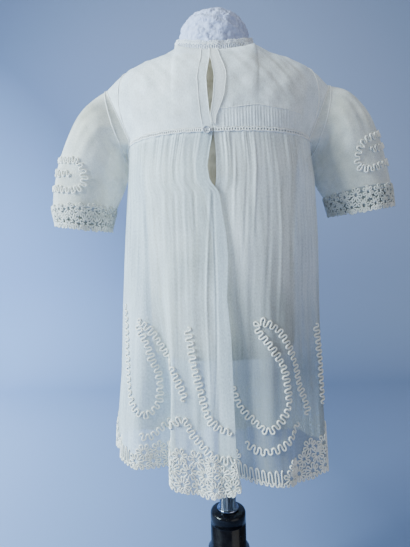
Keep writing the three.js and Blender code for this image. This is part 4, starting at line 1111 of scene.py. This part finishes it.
def crinkle(grid):
    """Slight uneven wrinkles of a limp net, in millimetres, none at the edges.
    The numbers in the waves only keep them from repeating, here and in the other uneven shapes."""
    x, y, z = np.moveaxis(grid, -1, 0)
    waves = np.sin(x * 0.31 + z * 0.12 + 2 * np.sin(z * 0.07)) + np.sin(x * 0.17 - z * 0.23 + y * 0.1)
    waves = waves + 0.6 * np.sin(x * 0.52 + z * 0.41 + 1.3 * np.sin(x * 0.09))
    rows, columns = grid.shape[:2]
    r = np.linspace(0, math.pi, rows)[:, None]
    c = np.linspace(0, math.pi, columns)[None, :]
    return CRINKLE * waves * np.sqrt(np.sin(r)) * np.sqrt(np.abs(np.sin(c)))


def heading_ripple(name, grid):
    """Where the skirt's gathered top presses against the right half of the yoke."""
    if name != "back_right":
        return 0
    x, z = grid[..., 0], grid[..., 2]
    inside = (z < HEADING_TOP_Z) & (x > HEADING_FROM_X) & (x < HEADING_TO_X)
    return -0.22 * inside * np.cos(x * 2.1 + 0.6 * np.sin(x * 0.7)) - 0.25 * inside


def add_yoke():
    grids = {
        "back_left": back_yoke_grid(-1, YOKE_COLUMNS["back_left"]),
        "back_right": back_yoke_grid(1, YOKE_COLUMNS["back_right"]),
        "front": front_yoke_grid(YOKE_COLUMNS["front"]),
    }
    for name, grid in grids.items():
        depth = SHEET_DEPTH + crinkle(grid) + heading_ripple(name, grid)
        inner = grid - depth[..., None] * Surface(grid).normals
        sheet = grid_object(f"yoke_sheet_{name}", inner, YOKE_NET, [f"yoke_{name}"])
    return grids


def add_heading(grids):
    """The skirt's gathered top stands up inside the yoke and shows through it."""
    for name, top_z in (("back_left", LOW_HEADING_TOP_Z), ("back_right", HEADING_TOP_Z)):
        whole = grids[name]
        columns = whole.shape[1]
        height_rows = int((whole[:, columns // 2, 2] < top_z).sum())
        normals = Surface(whole).normals[:height_rows]
        wave = HEADING_WAVE * np.cos(np.arange(columns) * math.pi * 0.6)
        strip = whole[:height_rows] - (HEADING_DEPTH + wave)[None, :, None] * normals
        piece = grid_object(f"gathered_heading_{name}", strip, HEADING_NET)
        if name == "back_right":
            shown = slice(6, int(columns * 0.8))
            path = (whole[height_rows - 1, shown], normals[-1, shown])
            tube_object("heading_edge", [path], HEADING_EDGE_RADIUS, STITCHING, sides=5)


def along_row(row, at):
    """Points at given lengths along a row."""
    along = lengths_along(row)
    return np.stack([np.interp(at, along, row[:, k]) for k in range(3)], -1)


def add_placket(grids):
    grid = grids["back_right"]
    outward = Surface(grid).normals[1:-2, 0]
    lines = []
    for row, normal in zip(grid[1:-2], outward):
        width = float(look_up(PLACKET, "z", row[0, 2], "width"))
        lines.append(along_row(row, width * np.array(BAND_SHARES)) + np.array(BAND_LIFTS)[:, None] * normal)
    band = np.array(lines)
    piece = grid_object("placket_facing", band, SEAM_NET, ["placket_band"])
    fold = len(BAND_SHARES) // 2
    edges = [(band[:, k] + 0.25 * outward, outward) for k in (fold, 0)]
    left = grids["back_left"][1:-1]
    outward = Surface(grids["back_left"]).normals[1:-1, -1]
    edges.append((left[:, -1], outward))
    stitch_line = np.array([along_row(row[::-1], SLIT_STITCH_INSET) for row in left])
    edges.append((stitch_line - 0.15 * outward, outward))
    tube_object("placket_edges", edges, PLACKET_EDGE_RADIUS, STITCHING, sides=5)


def add_beading():
    """Openwork let into the seam: two rails and a bar every few millimetres."""
    spans = {
        "back_left": (-SEAM_END_AZIMUTH, float(azimuth_at_x(LAP["left"][-1], SEAM_Z))),
        "back_right": (float(azimuth_at_x(LAP["right"][-1], SEAM_Z)), SEAM_END_AZIMUTH),
        "front": (180 - SEAM_END_AZIMUTH, 180 + SEAM_END_AZIMUTH),
    }
    for name, (start, end) in spans.items():
        azimuth = np.linspace(start, end, BEADING_SAMPLES)
        sag = BEADING_SAG * np.sin(azimuth * 0.9)
        paths = [(body_point(azimuth, SEAM_Z + level + sag), outward_at(azimuth))
                 for level in BEADING_RAILS]
        bars = int(abs(end - start) * BEADING_MM_PER_DEGREE / BEADING_SPACING[name])
        for k in range(bars):
            a = np.full(4, mix(start, end, (k + 0.5) / bars))
            z = np.linspace(SEAM_Z + BEADING_RAILS[0], SEAM_Z + BEADING_RAILS[1], 4)
            paths.append((body_point(a, z), outward_at(a)))
        piece = tube_object(f"beading_strip_{name}", paths, BEADING_RADIUS, STITCHING,
                            [f"beading_{name}"])
        add_seam_allowance(name, azimuth)


def add_seam_allowance(name, azimuth):
    """The cut edges of yoke and skirt, which lie behind the openwork."""
    levels = SEAM_Z + np.linspace(-SEAM_ALLOWANCE, SEAM_ALLOWANCE, SEAM_ALLOWANCE_ROWS)[:, None]
    grid = body_point(*np.broadcast_arrays(azimuth, levels)) - SEAM_ALLOWANCE_DEPTH * outward_at(azimuth)
    piece = grid_object(f"seam_allowance_{name}", grid, SEAM_NET)


# Sleeves

def sleeve_line(corners, side=1):
    """Grid places along a route of shares down the sleeve and turns round it."""
    line = spline([(share * SLEEVE_LENGTH, side * turn * DEGREE_LENGTH) for share, turn in corners], 1.0)
    u = line[:, 1] / DEGREE_LENGTH / 360 * SLEEVE_COLUMNS
    return u, line[:, 0] / SLEEVE_LENGTH * (SLEEVE_ROWS - 1)


def sleeve_cords(direction, surface):
    """The loop's own routes, and its outline mirrored on the other side of the sleeve."""
    paths = []
    for i, corners in enumerate(ROUTES_SLEEVE):
        u, v = sleeve_line(corners)
        paths.append(meander(surface, smoothed(u, 3), smoothed(v, 3), seed=i + direction))
    return paths + [meander(surface, *sleeve_line(ROUTES_SLEEVE[0], -1), seed=4)]


def round_cloth(name, grid, direction, net, stands_for=()):
    """A sleeve's or cuff's cloth, its own grid, and the surface that its cords lie on."""
    surface = Surface(grid, closed=True, outward=direction)
    inner = grid - SHEET_DEPTH * surface.normals
    return grid_object(name, inner, net, stands_for, closed=True, flip=direction < 0), inner, surface


def add_sleeve(name, direction, table):
    turns = turns_round(SLEEVE_COLUMNS)
    grid = sleeve_grid(direction, table, turns)
    sheet, inner, surface = round_cloth(f"sleeve_sheet_{name}", grid, direction, SLEEVE_SHADED_NET,
                                        [f"sleeve_{name}"])
    motif = tube_object(f"couched_cord_sleeve_{name}", sleeve_cords(direction, surface), CORD_RADIUS,
                        CORD, [f"cord_loop_sleeve_{name}"])
    cuff = cuff_grid(direction, table, turns)
    band, _, cuff_surface = round_cloth(f"cuff_sheet_{name}", cuff, direction, CUFF_SHADE_NET)
    cords = tube_object(f"cuff_cordwork_{name}", cuff_cords(cuff_surface), BORDER_CORD_RADIUS, CUFF_CORD,
                        [f"cuff_{name}"], 5)
    add_armhole_seam(name, direction, surface)


def add_armhole_seam(name, direction, surface):
    """The seam, the line that holds its turned edge on the yoke, and a fold round the sleeve."""
    ring = armhole_ring(direction, np.linspace(0, 359.9, ARMHOLE_SAMPLES))
    ring = np.concatenate([ring, ring[:1]])
    outward = unit(ring - ring.mean(axis=0))
    paths = [(ring - SHEET_DEPTH * outward, outward)]
    down = np.linspace(0.04, 0.98, 40)
    for side in (1, -1):
        start = yoke_start(direction) if side > 0 else FRONT_START
        line = yoke_point(mix(*TURNED_EDGE, ease(down * 1.1)), down, direction, side, start)
        facing = np.broadcast_to(np.array([0.0, -float(side), 0.3]), line.shape)
        paths.append((line - 0.1 * facing, facing))
    paths.append(surface.laid(*sleeve_line(SLEEVE_HEAD_FOLD), -0.05))
    tube_object(f"armhole_seam_{name}", paths, ARMHOLE_SEAM_RADIUS, STITCHING)


# Neck frill, button

def neck_edge(turn):
    turned = turn - 360 if turn > 180 else turn
    side = 1 if abs(turned) <= 90 else -1
    slit_turn = math.degrees(math.asin((SLIT["right"][-1] - NECK_SHIFT_X) / NECK_HALF_WIDTH))
    middle = slit_turn if side > 0 else 0
    direction = 1 if turned >= middle else -1
    from_middle = direction * turned if side > 0 else 180 - abs(turned)
    along = NECK_SHARE * (from_middle - direction * middle) / (90 - direction * middle)
    start = yoke_start(direction)["top"] if side > 0 else FRONT_START["top"]
    return yoke_top(np.array(along), direction, side, start)


def frill_grid():
    turns = turns_round(FRILL_COLUMNS)
    base = np.array([neck_edge(turn) for turn in turns])[None]
    up = np.linspace(0, 1, FRILL_ROWS)[:, None]
    ruffle = up * FRILL_RUFFLE * (cosine(turns * 16) + 0.35 * sine(turns * 43) - 1)
    rise = SEAM_GAP + FRILL_HEIGHT * up - FRILL_SINK
    return base + ruffle[..., None] * outward_at(turns) + rise[..., None] * np.array((0, 0, 1))


def add_frill():
    grid = frill_grid()
    surface = Surface(grid, closed=True)
    sheet = grid_object("neck_frill_sheet", grid, LACE_NET, closed=True)
    last = FRILL_ROWS - 1
    loops = []
    for low, high, waves in FRILL_LOOPS:
        phase = np.linspace(0, waves * 2 * math.pi, waves * 10 + 1)
        u = phase / phase[-1] * FRILL_COLUMNS - 0.9 * np.sin(2 * phase)
        loops.append(surface.laid(u, mix(low, high, 0.5 + 0.5 * np.sin(phase)) * last, LACE_RADIUS))
    for level in FRILL_LINES:
        u = np.linspace(0, FRILL_COLUMNS, FRILL_COLUMNS + 1)
        loops.append(surface.laid(u, np.full(len(u), level * last), LACE_LINE_LIFT))
    lace = tube_object("neck_frill_lace", loops, LACE_RADIUS, LACE, ["neck_frill"], 5)


def add_button():
    x, z, radius, thickness = BUTTON["x"], BUTTON["z"], BUTTON["radius"], BUTTON["thickness"]
    seat_y = body_point(azimuth_at_x(x, z), np.array(float(z)))[1] - BUTTON["stand"]
    turns = turns_round(BUTTON_SEGMENTS)
    rows = [np.stack([x + radius * r * cosine(turns), np.full(len(turns), seat_y - thickness * y),
                      z + radius * r * sine(turns)], -1) for r, y in BUTTON_PROFILE]
    grid_object("pearl_button", np.array(rows), pearl_material(), ["button"], closed=True, flip=True)
    stitches = []
    well_y = seat_y - thickness * BUTTON_WELL
    for dx in (-STITCH_OFFSET, STITCH_OFFSET):
        line = np.array([[x + dx, well_y + dy, z + dz] for dy, dz in BUTTON_STITCH])
        stitches.append((line, np.broadcast_to(np.array([1.0, 0, 0]), line.shape)))
    tube_object("button_thread", stitches, BUTTON_THREAD_RADIUS, STITCHING, sides=5)


# Dress form and stand

def form_rings():
    turns = turns_round(FORM_COLUMNS)
    sections = list(zip(FORM["half_width"], FORM["half_depth"], FORM["square"], FORM["z"]))
    for width, depth, gap in zip(*(FORM_SHOULDER[k] for k in ("half_width", "half_depth", "gap"))):
        shoulder_z = np.interp(width, SHOULDER_LINE["x"], SHOULDER_LINE["z"])
        sections.append((width, depth, 1.8, shoulder_z - CLOTH_WALL - gap))
    sections.append((FORM_NECK["half_width"], FORM_NECK["half_depth"], 2, FORM_NECK["z"]))
    return np.array([np.stack([*section_xy(width, depth, square, turns), np.full(len(turns), float(z))], -1)
                     for width, depth, square, z in sections])


def capped(rings):
    """Rings with shrunk rings at each end, so that the body closes."""
    bottom, top = rings[0], rings[-1]
    lows = [mix(bottom.mean(0), bottom, share) for share in (0.02, 0.6, 0.97)]
    highs = [mix(top.mean(0), top, share) for share in (0.97, 0.6, 0.02)]
    return np.concatenate([lows, rings, highs])


def add_form():
    coarse = form_rings()
    rows = np.linspace(0, len(coarse) - 1, FORM_ROWS)
    low = np.floor(rows).astype(int).clip(0, len(coarse) - 2)
    part = (rows - low)[:, None, None]
    rings = coarse[low] * (1 - part) + coarse[low + 1] * part
    grid_object("form_body", capped(rings), form_material(), ["form_torso"], closed=True)


def cap_radius(turn, z, radius):
    place = Vector((sine(turn) * 4.1, cosine(turn) * 4.1, z * 0.11))
    folds = noise.fractal(place, 0.9, 2.1, 4) * 0.8
    cells = noise.voronoi(place * 1.7)[0][0]
    wrap = 0.35 * math.sin((z + turn * 0.05) * 2 * math.pi / 13)
    fade = min(1, radius / 12)
    return radius + fade * (1.6 * folds - 2.2 * abs(cells - 0.35) + wrap - 0.2)


def add_cap():
    profile = spline(list(zip(CAP["radius"], CAP["z"])), 0.5)
    profile = profile[np.linspace(0, len(profile) - 1, CAP_ROWS).astype(int)]
    turns = turns_round(CAP_COLUMNS)
    bent = np.array([[cap_radius(turn, z, radius) for turn in turns] for radius, z in profile])
    centres = np.array([(NECK_SHIFT_X, 0, z) for _, z in profile])[:, None]
    grid = bent[..., None] * outward_at(turns) + centres
    grid_object("wrapped_neck", capped(grid), tape_material(), ["neck_cap"], closed=True)


def add_stand():
    black = black_material()
    foot, top = HUB_TOP_Z + SEAM_GAP, FORM["z"][0] - SEAM_GAP
    rim, rim_z = COLLAR_RADIUS, foot + COLLAR_HEIGHT
    pole = ((0.1, foot), (rim - 0.4, foot), (rim, foot + 0.4), (rim, rim_z - 0.6), (rim - 0.6, rim_z),
            (POLE_RADIUS, rim_z + 0.1), (POLE_RADIUS, top), (0.1, top))
    lathe_object("chrome_pole", pole, chrome_material(), ["pole"])
    bottom = BASE["z"][-1] + SEAM_GAP
    r, b, wide, high = HUB_RADIUS, HUB_BEVEL, HUB_FOOT_RADIUS, HUB_TOP_Z
    hub = ((0.1, bottom), (wide - 0.5, bottom), (wide, bottom + 0.5), (wide, HUB_STEP_Z - b),
           (r, HUB_STEP_Z), (r, high - 14), (r - 0.6, high - 13.5), (r, high - 13), (r, high - b),
           (r - b * 0.3, high - b * 0.3), (r - b, high), (0.1, high))
    lathe_object("black_hub", hub, black, ["stand_hub"])
    upper = spline(list(zip(BASE["radius"][1:], BASE["z"][1:])), 3.0)
    rim = BASE["radius"][0]
    base = [(0.1, 0), (rim - BASE_BEVEL, 0), (rim, BASE_BEVEL), *upper, (0.1, BASE["z"][-1])]
    lathe_object("black_base", base, black, ["stand_base"])


# Floor, light and camera

def floor_material():
    material, tree, shader = node_material("pale_floor")
    # Painted light: the floor and wall are painted lightest low on the left, as a window on the left would
    # light them, with clouds of random tone.
    x, _, z = axes(tree, "Object")
    across = math_node(tree, "MULTIPLY", x, 0.36)
    rise = math_node(tree, "MULTIPLY", z, 0.3)
    painted_light = math_node(tree, "ADD", math_node(tree, "ADD", across, rise), 0.36)
    cloud = math_node(tree, "MULTIPLY", noise_at(tree, mapped(tree, "Object"), 1.2, 2.0), 0.1)
    blues = ((0.12, (0.27, 0.41, 0.74)), (0.5, (0.14, 0.19, 0.33)), (1.0, (0.28, 0.335, 0.50)))
    ramp(tree, math_node(tree, "ADD", painted_light, cloud), blues, shader.inputs["Base Color"])
    set_sockets(shader, {"Roughness": 0.95, "Specular IOR Level": 0.1})
    return material


def add_floor():
    """A floor that turns up into a wall behind the part."""
    reach, back, radius, height = FLOOR["reach"], FLOOR["back"], FLOOR["radius"], FLOOR["height"]
    angles = np.radians(np.arange(10, 100, 10))
    bend = zip(back + radius * np.sin(angles), radius * (1 - np.cos(angles)))
    profile = [(-reach, 0), (0, 0), (back, 0), *bend, (back + radius, height)]
    grid = np.array([[(x, y, z) for x in (-reach, 0, reach)] for y, z in profile], dtype=float)
    faces = grid_faces(*grid.shape[:2]).tolist()
    new_object("floor", grid, faces, floor_material(), rides=False)


def add_light(name, place, aim, size, power, colour):
    data = bpy.data.lights.new(name, "AREA")
    data.energy = power
    data.size = size
    data.color = colour
    lamp = bpy.data.objects.new(name, data)
    lamp.location = place
    lamp.rotation_euler = (Vector(aim) - Vector(place)).to_track_quat("-Z", "Y").to_euler()
    bpy.context.scene.collection.objects.link(lamp)


def add_lights():
    add_light("window", (-1.35, -0.52, 0.95), (0, 0, 0.42), 0.7, 76, (0.73, 0.92, 1.0))
    add_light("wall", (-0.95, 0.3, 1.0), (-0.7, 1.42, 0.45), 1.0, 19, (0.74, 0.90, 1.0))
    add_light("ceiling", (-0.3, -0.3, 1.9), (0, 0.1, 0.3), 1.2, 9, (0.88, 0.96, 1.0))
    add_light("fill", (1.1, -1.3, 0.6), (0, 0, 0.4), 1.4, 9, (1.0, 0.98, 0.93))
    world = bpy.data.worlds.new("soft_room")
    world.use_nodes = True
    set_sockets(world.node_tree.nodes["Background"], {"Color": (0.80, 0.88, 1.0, 1), "Strength": 0.2})
    bpy.context.scene.world = world


def add_camera():
    data = bpy.data.cameras.new("camera")
    data.sensor_fit = "VERTICAL"
    data.sensor_height = SENSOR_HEIGHT_MM
    data.lens = CAMERA_LENS_MM
    camera = bpy.data.objects.new("camera", data)
    camera.location = CAMERA_PLACE
    camera.rotation_euler = (math.pi / 2, math.radians(CAMERA_ROLL_DEGREES), 0)
    bpy.context.scene.collection.objects.link(camera)
    bpy.context.scene.camera = camera


add_camera()
add_floor()
add_lights()
add_form()
add_cap()
add_stand()
yoke_grids = add_yoke()
add_heading(yoke_grids)
add_placket(yoke_grids)
add_beading()
add_skirt()
add_sleeve("left", -1, SLEEVE_LEFT)
add_sleeve("right", 1, SLEEVE_RIGHT)
add_frill()
add_button()
